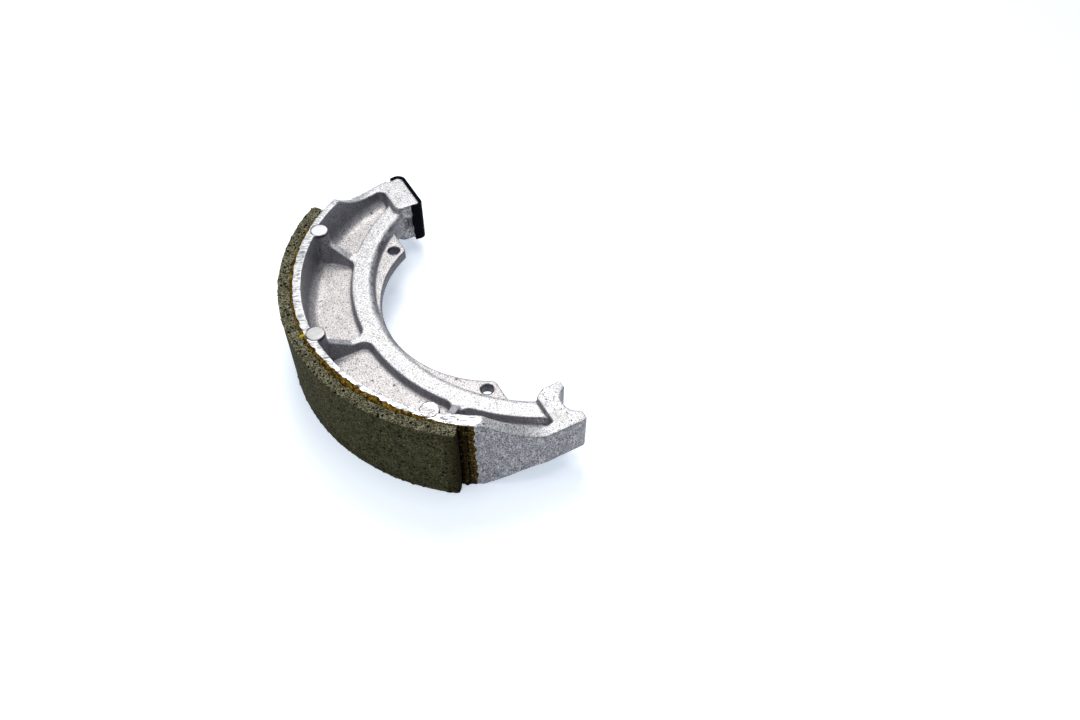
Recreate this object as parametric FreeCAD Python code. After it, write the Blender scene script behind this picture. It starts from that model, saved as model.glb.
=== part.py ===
import FreeCAD
import Part
import math
import os

# Drum brake shoe: a die-cast aluminium shoe with a bonded friction lining and a steel cap on
# the end that the brake cam pushes. Millimetres, drum axis on Z, crown of the lining towards
# +Y, cam end at +X, anchor pin end at -X. The shoe lies flat on its side face at Z = 0.

# Drum and width
DRUM_DIAMETER = 130.0
SHOE_WIDTH = 28.0

# Friction lining and the resin film that bonds it
LINING_THICKNESS = 3.6
BOND_THICKNESS = 0.2
LINING_CAM_ANGLE = 36.0
LINING_PIVOT_ANGLE = 143.4
LINING_END_RADIUS = 1.3
BOND_SQUEEZE_LENGTH = 4.5
BOND_EDGE_SETBACK = 0.15

# Casting: rim, with a ramp at each end down to the end block
RIM_THICKNESS = 3.0
RIM_DRAFT = 1.5
RIM_CAM_ANGLE = 30.5
RIM_PIVOT_ANGLE = 149.3
CAM_RAMP_SLOPE = 40.0
PIVOT_RAMP_SLOPE = 27.5
RAMP_BLEND_RADIUS = 19.0

# Casting: web, spring tabs and inner ring
WEB_THICKNESS = 3.6
WEB_INNER_RADIUS = 35.5
TAB_END_Y = 16.2
TAB_CORNER_RADIUS = 1.6
TAB_BLEND_RADIUS = 3.0
RING_CENTRE_Y = -16.0
RING_INNER_RADIUS = 52.0
RING_WIDTH = 7.0
RING_HEIGHT = 9.6
RING_DRAFT = 8.0
RING_SHOULDER = 1.6

# Casting: ribs and the pockets between them
RIB_ANGLES = (45.0, 90.0, 139.5)
RIB_THICKNESS = 1.9
RIB_DRAFT = 3.0
RIB_TOP_DROP = 2.5
RIB_TOP_SLOPE = 33.5
CAM_POCKET_WALL = 2.2
PIVOT_POCKET_WALL = 3.7
POCKET_CORNER_RADIUS = 3.0
POCKET_END_RADIUS = 1.8
POCKET_FLOOR_RADIUS = 4.0

# Casting: end blocks
CAM_BLOCK_THICKNESS = 14.5
PIVOT_BLOCK_THICKNESS = 12.5
BLOCK_DRAFT = 2.0
BLOCK_INNER_X = 43.8
BLOCK_WAIST_X = 45.3
BLOCK_WAIST_Y = 9.8
BLOCK_CORNER_RADIUS = 2.2
CAM_FACE_Y = 3.6
CAM_BLOCK_TOP_Y = 12.8
CAM_SKIN_THICKNESS = 0.7
CAM_SKIN_ANGLE = 23.0
GATE_STUB_RISE = 1.2
GATE_STUB_LENGTH = 3.2
GATE_STUB_WIDTH = 4.0
PIVOT_FACE_Y = 1.6
PIVOT_SHOULDER_Y = 7.4
PIVOT_BLOCK_TOP_Y = 10.6
PIVOT_OUTER_X = 59.4
PIVOT_TIP_RADIUS = 1.0

# Anchor pin seat, a part-round notch on the drum's cross axis
ANCHOR_X = -51.3
ANCHOR_SEAT_DIAMETER = 10.0

# Return spring holes in the tabs
SPRING_HOLE_ANGLE = 30.7
SPRING_HOLE_INSET = 3.24
SPRING_HOLE_DIAMETER = 3.4

# Round ejector pads, on the top side only
PAD_ANGLES = (45.0, 90.0, 135.0)
PAD_DIAMETER = 5.6
PAD_INSET = 0.6
PAD_DRAFT = 1.0

# Steel cap pressed on the cam end
CAP_THICKNESS = 1.0
CAP_OVERHANG = 0.25
CAP_INNER_LEG = 4.0
CAP_OUTER_LEG = 4.6
CAP_OUTER_LEAN = 6.0
CAP_INNER_BEND = 1.9
CAP_OUTER_BEND = 2.8
CAP_LEG_CLEARANCE = 1.8

# Values that follow from the sizes above
HALF_WIDTH = SHOE_WIDTH / 2
LINING_RADIUS = DRUM_DIAMETER / 2
BOND_RADIUS = LINING_RADIUS - LINING_THICKNESS
SEAT_RADIUS = BOND_RADIUS - BOND_THICKNESS
RIM_INNER_RADIUS = SEAT_RADIUS - RIM_THICKNESS
CAM_SKIN_RADIUS = SEAT_RADIUS + CAM_SKIN_THICKNESS
RING_OUTER_RADIUS = RING_INNER_RADIUS + RING_WIDTH
HALF_WEB = WEB_THICKNESS / 2
HALF_RING = RING_HEIGHT / 2
TOOL_TOP = HALF_WIDTH + RIM_THICKNESS
CAM_WALL_RADIUS = SEAT_RADIUS - CAM_POCKET_WALL
PIVOT_WALL_RADIUS = SEAT_RADIUS - PIVOT_POCKET_WALL
CREST_HEIGHT = HALF_WIDTH - RIB_TOP_DROP
CREST_END = RIM_INNER_RADIUS - RIB_TOP_DROP * math.tan(math.radians(RIM_DRAFT))
CREST_START = CREST_END - (CREST_HEIGHT - HALF_RING) / math.tan(math.radians(RIB_TOP_SLOPE))
REACH = DRUM_DIAMETER

AXIS_X = FreeCAD.Vector(1, 0, 0)
AXIS_Z = FreeCAD.Vector(0, 0, 1)
ORIGIN = FreeCAD.Vector(0, 0, 0)
RING_CENTRE = FreeCAD.Vector(0, RING_CENTRE_Y, 0)
CAM_WAIST = FreeCAD.Vector(BLOCK_WAIST_X, BLOCK_WAIST_Y, 0)


def vec(x, y, z=0.0):
    return FreeCAD.Vector(x, y, z)


def tan_deg(angle):
    return math.tan(math.radians(angle))


def polar(radius, angle, z=0.0):
    a = math.radians(angle)
    return vec(radius * math.cos(a), radius * math.sin(a), z)


def line(a, b):
    return Part.LineSegment(a, b).toShape()


def arc(a, middle, b):
    return Part.Arc(a, middle, b).toShape()


def lines_through(points):
    """Straight edges through the points and back to the first."""
    return [line(a, b) for a, b in zip(points, points[1:] + points[:1])]


def plate(edges, height):
    """Solid from a closed plan outline, centred on the mid-plane."""
    face = Part.Face(Part.Wire(edges))
    face.translate(vec(0, 0, -height / 2))
    return face.extrude(vec(0, 0, height))


def slab(x_low, y_low, x_high, y_high, height):
    """Box with its height centred on the mid-plane."""
    corner = vec(x_low, y_low, -height / 2)
    return Part.makeBox(x_high - x_low, y_high - y_low, height, corner)


def revolved(edges, start, end):
    """Sector of a body of revolution about the drum axis, from a section drawn at Y = 0."""
    face = Part.Face(Part.Wire(edges))
    face.rotate(ORIGIN, AXIS_Z, start)
    return face.revolve(ORIGIN, AXIS_Z, end - start)


def ring_sector(inner, outer, height, start, end):
    """Part of a plain ring about the drum axis, centred on the mid-plane."""
    half = height / 2
    corners = [vec(inner, 0, -half), vec(outer, 0, -half), vec(outer, 0, half), vec(inner, 0, half)]
    return revolved(lines_through(corners), start, end)


def both_sides(shape):
    """The shape and its mirror image across the mid-plane."""
    return [shape, shape.mirror(ORIGIN, AXIS_Z)]


def rounded(shape, radius, wanted):
    """Fillet the edges for which wanted(edge) holds."""
    return shape.makeFillet(radius, [edge for edge in shape.Edges if wanted(edge)])


def is_upright_at(edge, x, y):
    """True for an edge along Z through the plan point (x, y)."""
    ends = [vertex.Point for vertex in edge.Vertexes]
    return len(ends) == 2 and all(math.hypot(p.x - x, p.y - y) < 0.01 for p in ends)


def rim_and_crest():
    """Rim, with the sloping crest that the ribs keep once the pockets are cut."""
    upper = [
        vec(WEB_INNER_RADIUS, 0, HALF_RING),
        vec(CREST_START, 0, HALF_RING),
        vec(CREST_END, 0, CREST_HEIGHT),
        vec(RIM_INNER_RADIUS, 0, HALF_WIDTH),
        vec(SEAT_RADIUS, 0, HALF_WIDTH),
    ]
    lower = [vec(p.x, 0, -p.z) for p in reversed(upper)]
    return revolved(lines_through(upper + lower), 0, 180)


def thick_rim():
    """Thicker end of the rim beside the last pocket, with the rim's draft on its inner wall."""
    neck = PIVOT_WALL_RADIUS - HALF_WIDTH * tan_deg(RIM_DRAFT)
    upper = [vec(PIVOT_WALL_RADIUS, 0, HALF_WIDTH), vec(SEAT_RADIUS, 0, HALF_WIDTH)]
    lower = [vec(p.x, 0, -p.z) for p in reversed(upper)]
    return revolved(lines_through([vec(neck, 0, 0)] + upper + lower), RIB_ANGLES[-1], 180)


def ramp_cutter(angle, slope, side, block_thickness):
    """What is removed above one end of the rim, where it slopes down to the end block."""
    block_top = block_thickness / 2
    foot = (HALF_WIDTH - block_top) / tan_deg(slope)
    tangent = RAMP_BLEND_RADIUS * tan_deg(slope / 2)
    mid = math.radians(slope / 2)
    start = vec(0, 0, HALF_WIDTH)
    blend_in_x = foot - tangent * math.cos(2 * mid)
    blend_in = vec(blend_in_x, 0, HALF_WIDTH - blend_in_x * tan_deg(slope))
    blend_out = vec(foot + tangent, 0, block_top)
    middle = vec(blend_out.x - RAMP_BLEND_RADIUS * math.sin(mid), 0,
                 block_top + RAMP_BLEND_RADIUS * (1 - math.cos(mid)))
    corners = [blend_out, vec(REACH, 0, block_top), vec(REACH, 0, TOOL_TOP), vec(0, 0, TOOL_TOP), start]
    edges = [line(start, blend_in), arc(blend_in, middle, blend_out)]
    edges += [line(a, b) for a, b in zip(corners, corners[1:])]
    solid = Part.Face(Part.Wire(edges)).extrude(vec(0, REACH, 0))
    if side > 0:
        solid = solid.mirror(ORIGIN, AXIS_X)
    solid.rotate(ORIGIN, AXIS_Z, angle - 90)
    return solid


def ring_bore():
    """What is removed inside the inner ring, with the ring's draft and a shoulder bevelled twice."""
    lean = math.radians(RING_DRAFT)
    wall = RING_INNER_RADIUS + HALF_RING * math.tan(lean)
    turn = math.pi / 2 - lean
    reach = RING_SHOULDER * math.tan(turn / 2)
    on_wall = vec(wall - reach * math.sin(lean), 0, HALF_RING - reach * math.cos(lean))
    on_top = vec(wall + reach, 0, HALF_RING)
    middle = vec(on_top.x - RING_SHOULDER * math.sin(turn / 2), 0,
                 HALF_RING - RING_SHOULDER * (1 - math.cos(turn / 2)))
    corners = [
        vec(0, 0, 0),
        vec(RING_INNER_RADIUS, 0, 0),
        on_wall,
        middle,
        on_top,
        vec(on_top.x, 0, TOOL_TOP),
        vec(0, 0, TOOL_TOP),
    ]
    bore = Part.Face(Part.Wire(lines_through(corners))).revolve(ORIGIN, AXIS_Z, 360)
    bore.translate(RING_CENTRE)
    return bore


def web_and_tabs():
    """Flat web inside the inner ring, drawn out at both ends into the spring tabs."""
    corner_y = TAB_END_Y + TAB_CORNER_RADIUS
    corner_x = math.sqrt((WEB_INNER_RADIUS + TAB_CORNER_RADIUS) ** 2 - corner_y ** 2)
    share = WEB_INNER_RADIUS / (WEB_INNER_RADIUS + TAB_CORNER_RADIUS)
    on_hub = vec(corner_x * share, corner_y * share)
    on_end = vec(corner_x, TAB_END_Y)
    corner_mid = between_on_circle(vec(corner_x, corner_y), TAB_CORNER_RADIUS, on_hub, on_end)
    blend_y = TAB_END_Y - TAB_BLEND_RADIUS
    rise = blend_y - RING_CENTRE_Y
    inside = RING_INNER_RADIUS - TAB_BLEND_RADIUS
    blend_x = math.sqrt(inside ** 2 - rise ** 2)
    stretch = RING_INNER_RADIUS / inside
    blend_start = vec(blend_x, TAB_END_Y)
    blend_end = vec(blend_x * stretch, RING_CENTRE_Y + rise * stretch)
    blend_mid = between_on_circle(vec(blend_x, blend_y), TAB_BLEND_RADIUS, blend_start, blend_end)
    buried = (RING_INNER_RADIUS + RING_WIDTH / 2) / inside
    anchor = vec(blend_x * buried, RING_CENTRE_Y + rise * buried)
    crown = vec(0, RING_CENTRE_Y + RING_INNER_RADIUS + RING_WIDTH / 2)
    right = [
        arc(on_hub, corner_mid, on_end),
        line(on_end, blend_start),
        arc(blend_start, blend_mid, blend_end),
        line(blend_end, anchor),
    ]
    left = [edge.mirror(ORIGIN, AXIS_X) for edge in right]
    hub = arc(on_hub, vec(0, WEB_INNER_RADIUS), vec(-on_hub.x, on_hub.y))
    back = arc(anchor, crown, vec(-anchor.x, anchor.y))
    return plate(Part.__sortEdges__(right + [back] + left + [hub]), WEB_THICKNESS)


def between_on_circle(centre, radius, a, b):
    """Point of the circle half way between two of its points."""
    chord = (a + b) * 0.5 - centre
    return centre + chord * (radius / chord.Length)


def wall_room(x, y, normal_angle, draft):
    """Room on one side of a drafted wall that stands on the web at (x, y)."""
    lean = (TOOL_TOP - HALF_WEB) * tan_deg(draft)
    corners = [
        vec(0, 0, HALF_WEB),
        vec(REACH, 0, HALF_WEB),
        vec(REACH, 0, TOOL_TOP),
        vec(-lean, 0, TOOL_TOP),
    ]
    face = Part.Face(Part.Wire(lines_through(corners)))
    face.translate(vec(0, -REACH, 0))
    room = face.extrude(vec(0, 2 * REACH, 0))
    room.rotate(ORIGIN, AXIS_Z, normal_angle)
    room.translate(vec(x, y, 0))
    return room


def beside_rib(angle, side):
    """Room beside a rib, on the side of larger angles for side +1 and smaller for -1."""
    base = RIB_THICKNESS / 2 + (CREST_HEIGHT - HALF_WEB) * tan_deg(RIB_DRAFT)
    foot = polar(base, angle + 90 * side)
    return wall_room(foot.x, foot.y, angle + 90 * side, RIB_DRAFT)


def beyond_block(top_y, block_thickness):
    """Room above the drafted wall of an end block."""
    base = top_y + (block_thickness / 2 - HALF_WEB) * tan_deg(BLOCK_DRAFT)
    return wall_room(0, base, 90, BLOCK_DRAFT)


def bowl(wall_radius):
    """Room inside the rim: flat floor, rounded foot and drafted wall."""
    draft = math.radians(RIM_DRAFT)
    foot = wall_radius - (HALF_WIDTH - HALF_WEB) * math.tan(draft)
    high = wall_radius + (TOOL_TOP - HALF_WIDTH) * math.tan(draft)
    turn = math.pi / 2 - draft
    reach = POCKET_FLOOR_RADIUS * math.tan(turn / 2)
    on_floor = vec(foot - reach, 0, HALF_WEB)
    on_wall = vec(foot + reach * math.sin(draft), 0, HALF_WEB + reach * math.cos(draft))
    middle = vec(on_floor.x + POCKET_FLOOR_RADIUS * math.sin(turn / 2), 0,
                 HALF_WEB + POCKET_FLOOR_RADIUS * (1 - math.cos(turn / 2)))
    corners = [on_wall, vec(high, 0, TOOL_TOP), vec(WEB_INNER_RADIUS, 0, TOOL_TOP),
               vec(WEB_INNER_RADIUS, 0, HALF_WEB), on_floor]
    edges = [arc(on_floor, middle, on_wall)]
    edges += [line(a, b) for a, b in zip(corners, corners[1:])]
    return revolved(edges, 0, 180)


def inside_ring_wall(bottom, beyond=0.0):
    """Everything inside the inner ring's drafted outer wall, or so far beyond it, from a height up."""
    outer = RING_OUTER_RADIUS + beyond
    foot, top = (outer + (HALF_RING - z) * tan_deg(RING_DRAFT) for z in (bottom, TOOL_TOP))
    return Part.makeCone(foot, top, TOOL_TOP - bottom, RING_CENTRE + vec(0, 0, bottom), AXIS_Z)


def pocket(room, wall_radius):
    """One pocket of the top face, between two walls, the inner ring and the rim."""
    room = room.cut(inside_ring_wall(HALF_WEB))
    room = rounded(room, POCKET_CORNER_RADIUS, lambda edge: isinstance(edge.Curve, Part.Hyperbola))
    return room.common(bowl(wall_radius))


def round_corner(wall_radius, foot_y):
    """What stays solid round the drafted corner between the rim's inner wall and a block's wall."""
    foot_radius = wall_radius - (HALF_WIDTH - HALF_WEB) * tan_deg(RIM_DRAFT)
    y = foot_y + POCKET_END_RADIUS
    x = math.sqrt((foot_radius - POCKET_END_RADIUS) ** 2 - y ** 2)
    corners = [vec(x, y), vec(x, 0), vec(REACH, 0), vec(REACH, REACH * y / x)]
    height = TOOL_TOP - HALF_WEB
    wedge = plate(lines_through(corners), 2 * TOOL_TOP)
    top = POCKET_END_RADIUS + height * tan_deg((RIM_DRAFT + BLOCK_DRAFT) / 2)
    return wedge.cut(Part.makeCone(POCKET_END_RADIUS, top, height, vec(x, y, HALF_WEB), AXIS_Z))


def end_pocket(side, rib_angle, wall_radius, block_top_y, block_thickness):
    """A pocket that ends at a block, and the room that leaves the ring's crest flat up to the block."""
    room = beyond_block(block_top_y, block_thickness).common(beside_rib(rib_angle, -side))
    corner = round_corner(wall_radius, block_top_y + (block_thickness / 2 - HALF_WEB) * tan_deg(BLOCK_DRAFT))
    if side < 0:
        corner = corner.mirror(ORIGIN, AXIS_X)
    recess = pocket(room, wall_radius).cut(corner)
    return [recess, room.common(inside_ring_wall(HALF_RING, POCKET_CORNER_RADIUS))]


def pockets():
    """The four pockets of the top face, from the cam end to the anchor end."""
    result = end_pocket(1, RIB_ANGLES[0], CAM_WALL_RADIUS, CAM_BLOCK_TOP_Y, CAM_BLOCK_THICKNESS)
    result += end_pocket(-1, RIB_ANGLES[-1], PIVOT_WALL_RADIUS, PIVOT_BLOCK_TOP_Y, PIVOT_BLOCK_THICKNESS)
    for low, high in zip(RIB_ANGLES, RIB_ANGLES[1:]):
        result.append(pocket(beside_rib(low, 1).common(beside_rib(high, -1)), RIM_INNER_RADIUS))
    return result


def cap_leg_end(foot, towards, length):
    """Where a leg of the cap ends, on the line that it follows from its foot."""
    return foot + (towards - foot).normalize() * (length - CAP_THICKNESS)


def cam_core():
    """Corners of the cam block under the steel cap: inner foot, outer foot and outer step."""
    leg_end_y = CAM_FACE_Y + CAP_OUTER_LEG
    skin_x = math.sqrt(CAM_SKIN_RADIUS ** 2 - leg_end_y ** 2)
    wall = CAP_THICKNESS / math.cos(math.radians(CAP_OUTER_LEAN))
    face_y = CAM_FACE_Y + CAP_THICKNESS
    step_y = leg_end_y + CAP_LEG_CLEARANCE
    outer_x = [skin_x - wall - (y - leg_end_y) * tan_deg(CAP_OUTER_LEAN) for y in (face_y, step_y)]
    inner_foot = vec(BLOCK_INNER_X + CAP_THICKNESS, face_y)
    return inner_foot, vec(outer_x[0], face_y), vec(outer_x[1], step_y)


def cam_block():
    """Block that the cam pushes through the steel cap."""
    inner_foot, outer_foot, step = cam_core()
    corners = [
        inner_foot,
        outer_foot,
        step,
        vec(CAM_SKIN_RADIUS, step.y),
        vec(CAM_SKIN_RADIUS, CAM_BLOCK_TOP_Y),
        vec(BLOCK_WAIST_X, CAM_BLOCK_TOP_Y),
        CAM_WAIST,
    ]
    block = plate(lines_through(corners), CAM_BLOCK_THICKNESS)
    block = rounded(block, BLOCK_CORNER_RADIUS,
                    lambda edge: is_upright_at(edge, BLOCK_WAIST_X, CAM_BLOCK_TOP_Y))
    return block.common(Part.makeCylinder(CAM_SKIN_RADIUS, SHOE_WIDTH, vec(0, 0, -HALF_WIDTH)))


def cam_trim():
    """Everything of the rim and ring that lies past the cam block's face and in the cap's seat."""
    inner_foot, outer_foot, step = cam_core()
    seat_end = cap_leg_end(inner_foot, CAM_WAIST, CAP_INNER_LEG + CAP_OVERHANG)
    corners = [
        vec(0, -REACH),
        vec(REACH, -REACH),
        vec(REACH, step.y),
        step,
        outer_foot,
        inner_foot,
        seat_end,
        vec(0, seat_end.y),
    ]
    return plate(lines_through(corners), 2 * SHOE_WIDTH)


def pivot_block():
    """Block that bears on the anchor pin."""
    corners = [
        vec(-BLOCK_INNER_X, PIVOT_FACE_Y),
        vec(-BLOCK_INNER_X, PIVOT_SHOULDER_Y),
        vec(-BLOCK_WAIST_X, BLOCK_WAIST_Y),
        vec(-BLOCK_WAIST_X - (PIVOT_BLOCK_TOP_Y - BLOCK_WAIST_Y), PIVOT_BLOCK_TOP_Y),
        vec(-PIVOT_OUTER_X, PIVOT_BLOCK_TOP_Y),
        vec(-PIVOT_OUTER_X, PIVOT_FACE_Y),
    ]
    return plate(lines_through(corners), PIVOT_BLOCK_THICKNESS)


def pivot_trim():
    """Everything of the rim that lies past the anchor block's face and its flat outer side."""
    below = slab(-REACH, -REACH, -WEB_INNER_RADIUS, PIVOT_FACE_Y, 2 * SHOE_WIDTH)
    flat = slab(-REACH, -REACH, -PIVOT_OUTER_X, REACH, 2 * SHOE_WIDTH)
    return below.fuse(flat)


def ejector_pad(angle):
    """Drafted pillar against the rim, flush with the rim's top face."""
    centre = polar(RIM_INNER_RADIUS - PAD_INSET, angle, HALF_WEB)
    height = HALF_WIDTH - HALF_WEB
    base = PAD_DIAMETER / 2 + height * tan_deg(PAD_DRAFT)
    return Part.makeCone(base, PAD_DIAMETER / 2, height, centre, AXIS_Z)


def spring_hole(side):
    """Drilled hole in a tab."""
    foot = polar(WEB_INNER_RADIUS + SPRING_HOLE_INSET, SPRING_HOLE_ANGLE, -HALF_WIDTH)
    foot.x *= side
    return Part.makeCylinder(SPRING_HOLE_DIAMETER / 2, SHOE_WIDTH, foot)


def gate_stub():
    """Broken-off stub of the casting's gate, on the inner side of the cam block."""
    return slab(BLOCK_WAIST_X - GATE_STUB_RISE, CAM_BLOCK_TOP_Y - GATE_STUB_LENGTH,
                BLOCK_WAIST_X + BLOCK_CORNER_RADIUS, CAM_BLOCK_TOP_Y, GATE_STUB_WIDTH)


def shoe_casting():
    body = rim_and_crest()
    cam_skin = ring_sector(RIM_INNER_RADIUS, CAM_SKIN_RADIUS, SHOE_WIDTH, 0, CAM_SKIN_ANGLE)
    body = body.fuse([thick_rim(), cam_skin])
    body = body.cut(both_sides(ramp_cutter(RIM_CAM_ANGLE, CAM_RAMP_SLOPE, -1, CAM_BLOCK_THICKNESS)))
    body = body.cut(both_sides(ramp_cutter(RIM_PIVOT_ANGLE, PIVOT_RAMP_SLOPE, 1, PIVOT_BLOCK_THICKNESS)))
    body = body.cut(both_sides(ring_bore()))
    for room in pockets():
        body = body.cut(both_sides(room))
    body = body.cut([cam_trim(), pivot_trim()])
    body = body.fuse([web_and_tabs(), cam_block(), pivot_block()])
    anchor = Part.makeCylinder(ANCHOR_SEAT_DIAMETER / 2, SHOE_WIDTH, vec(ANCHOR_X, 0, -HALF_WIDTH))
    body = body.cut([anchor, spring_hole(1), spring_hole(-1)])
    body = body.fuse([ejector_pad(angle) for angle in PAD_ANGLES]).removeSplitter()
    inner_foot, outer_foot, step = cam_core()
    body = rounded(body, CAP_INNER_BEND - CAP_THICKNESS,
                   lambda edge: is_upright_at(edge, inner_foot.x, inner_foot.y))
    body = rounded(body, CAP_OUTER_BEND - CAP_THICKNESS,
                   lambda edge: is_upright_at(edge, outer_foot.x, outer_foot.y))
    body = rounded(body, PIVOT_TIP_RADIUS,
                   lambda edge: is_upright_at(edge, -PIVOT_OUTER_X, PIVOT_FACE_Y))
    return body.fuse(gate_stub())


def friction_lining():
    """Curved pad bonded round the rim, with its outer ends rounded off."""
    pad = ring_sector(BOND_RADIUS, LINING_RADIUS, SHOE_WIDTH, LINING_CAM_ANGLE, LINING_PIVOT_ANGLE)
    ends = [polar(LINING_RADIUS, angle) for angle in (LINING_CAM_ANGLE, LINING_PIVOT_ANGLE)]
    return rounded(pad, LINING_END_RADIUS,
                   lambda edge: any(is_upright_at(edge, end.x, end.y) for end in ends))


def bond_line():
    """Cured resin between lining and rim, squeezed out past the lining at the anchor end."""
    squeeze = math.degrees(BOND_SQUEEZE_LENGTH / SEAT_RADIUS)
    return ring_sector(SEAT_RADIUS, BOND_RADIUS, SHOE_WIDTH - 2 * BOND_EDGE_SETBACK,
                       LINING_CAM_ANGLE, LINING_PIVOT_ANGLE + squeeze)


def offset_corner(before, corner, after, distance):
    """Corner of a path moved sideways to the right by a distance, kept parallel on both sides."""
    first = (corner - before).normalize()
    second = (after - corner).normalize()
    right_first = vec(first.y, -first.x)
    right_second = vec(second.y, -second.x)
    share = distance / (1 + right_first.dot(right_second))
    return corner + (right_first + right_second) * share


def cam_end_cap():
    """Steel strip bent round the cam block."""
    inner_foot, outer_foot, step = cam_core()
    inner_end = cap_leg_end(inner_foot, CAM_WAIST, CAP_INNER_LEG)
    outer_end = cap_leg_end(outer_foot, step, CAP_OUTER_LEG)
    inside = [inner_end, inner_foot, outer_foot, outer_end]
    beyond = [inner_end * 2 - inner_foot] + inside + [outer_end * 2 - outer_foot]
    outside = [offset_corner(a, b, c, CAP_THICKNESS) for a, b, c in zip(beyond, beyond[1:], beyond[2:])]
    strip = plate(lines_through(inside + outside[::-1]), CAM_BLOCK_THICKNESS + 2 * CAP_OVERHANG)
    bends = [(inside[1], CAP_INNER_BEND - CAP_THICKNESS), (inside[2], CAP_OUTER_BEND - CAP_THICKNESS),
             (outside[1], CAP_INNER_BEND), (outside[2], CAP_OUTER_BEND)]
    for corner, radius in bends:
        strip = rounded(strip, radius, lambda edge: is_upright_at(edge, corner.x, corner.y))
    return strip


def main():
    os.makedirs("parts", exist_ok=True)
    pieces = {
        "shoe_casting": shoe_casting(),
        "friction_lining": friction_lining(),
        "bond_line": bond_line(),
        "cam_end_cap": cam_end_cap(),
    }
    for name, shape in pieces.items():
        shape.translate(vec(0, 0, HALF_WIDTH))
        solid = shape.Solids[0]
        print(f"{name}: {solid.Volume:.1f} cubic millimetres, valid {solid.isValid()}")
        solid.exportStep(f"parts/{name}.step")


main()
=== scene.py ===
"""Dresses one drum brake shoe for its picture: casting, lining, resin line, steel cap and studio."""

import itertools
import logging
import math
from dataclasses import dataclass
from enum import Enum

import bmesh
import bpy
import numpy as np
from mathutils import Matrix

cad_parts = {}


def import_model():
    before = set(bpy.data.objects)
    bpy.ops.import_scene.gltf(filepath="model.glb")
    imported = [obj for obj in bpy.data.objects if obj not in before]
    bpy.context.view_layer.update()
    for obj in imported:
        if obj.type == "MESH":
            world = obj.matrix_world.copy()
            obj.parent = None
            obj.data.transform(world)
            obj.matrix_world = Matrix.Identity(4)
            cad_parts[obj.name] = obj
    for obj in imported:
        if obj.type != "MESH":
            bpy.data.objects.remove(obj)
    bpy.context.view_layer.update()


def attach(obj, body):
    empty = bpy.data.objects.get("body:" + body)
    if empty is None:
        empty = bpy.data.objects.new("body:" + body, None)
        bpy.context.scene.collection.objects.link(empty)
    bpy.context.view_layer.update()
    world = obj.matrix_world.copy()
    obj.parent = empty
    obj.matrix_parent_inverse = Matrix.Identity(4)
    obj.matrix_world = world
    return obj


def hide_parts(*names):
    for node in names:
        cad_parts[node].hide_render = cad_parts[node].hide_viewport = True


Array = np.ndarray
Mesh = bpy.types.Mesh
Node = bpy.types.Node
Outputs = bpy.types.NodeOutputs
Socket = bpy.types.NodeSocket
Tree = bpy.types.NodeTree
Colour = tuple[float, float, float, float]
Triple = tuple[float, float, float]
Feed = Socket | float | int | bool | tuple | list | str | None

LOG = logging.getLogger("brake_shoe")
MM = 0.001

# Sizes that several pieces share, in millimetres and degrees
WIDTH = 28.0
SEAT_RADIUS = 61.2
LINING_ANGLES = (36.0, 143.4)


class Side(Enum):
    """The two flat sides of the shoe."""

    UPPER = 1
    LOWER = -1


class PadFinish(Enum):
    """How the face of an ejector pad looks."""

    BRIGHT = "bright"
    DULL = "dull"
    ROUGH = "rough"


# Mesh helpers


def face_outwards(mesh: Mesh) -> None:
    """Merge doubles and turn every face of a closed mesh outwards.

    Args:
        mesh: The mesh to mend in place.
    """
    bench = bmesh.new()
    bench.from_mesh(mesh)
    bmesh.ops.remove_doubles(bench, verts=bench.verts, dist=1e-7)
    bmesh.ops.recalc_face_normals(bench, faces=bench.faces)
    bench.to_mesh(mesh)
    bench.free()
    mesh.update()


def solid(name: str, points: Array, faces: list[tuple[int, ...]]) -> Mesh:
    """Make a closed mesh whose faces point outwards.

    Args:
        name: Name of the mesh.
        points: Its points in millimetres.
        faces: The numbers of each face's points.

    Returns:
        The mesh, in metres.
    """
    made = bpy.data.meshes.new(name)
    made.from_pydata((points * MM).tolist(), [], faces)
    face_outwards(made)
    return made


def slab(
    length: int, height: int, across: int, close_ends: float = 0.0
) -> tuple[Array, list[tuple[int, ...]]]:
    """Make the skin of a slab whose sides all run from 0 to 1.

    Args:
        length: Steps along the slab.
        height: Steps through its thickness.
        across: Steps across its width.
        close_ends: How much closer the steps lie near the two ends, from 0 to 1.

    Returns:
        Its points and the numbers of each face's points.
    """
    along = np.linspace(0, 1, length + 1)
    along = along - close_ends * np.sin(2 * np.pi * along) / (2 * np.pi)
    steps = (along, np.linspace(0, 1, height + 1), np.linspace(0, 1, across + 1))
    numbers: dict[tuple[int, ...], int] = {}
    faces: list[tuple[int, ...]] = []
    for axis in range(3):
        first, second = [other for other in range(3) if other != axis]
        last = [len(step) - 1 for step in steps]
        for end, i, j in itertools.product((0, last[axis]), range(last[first]), range(last[second])):
            loop = []
            for a, b in ((i, j), (i + 1, j), (i + 1, j + 1), (i, j + 1)):
                spot = [0, 0, 0]
                spot[axis], spot[first], spot[second] = end, a, b
                loop.append(numbers.setdefault(tuple(spot), len(numbers)))
            faces.append(tuple(loop))
    return np.array([[steps[axis][spot[axis]] for axis in range(3)] for spot in numbers]), faces


def store(mesh: Mesh, name: str, values: Array | float) -> None:
    """Keep a number for each point of a mesh as a named attribute.

    Args:
        mesh: The mesh to write to.
        name: Name of the attribute.
        values: One number for each point, or one for all.
    """
    layer = mesh.attributes.new(name, "FLOAT", "POINT")
    layer.data.foreach_set("value", np.full(len(mesh.vertices), values, np.float32))


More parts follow.
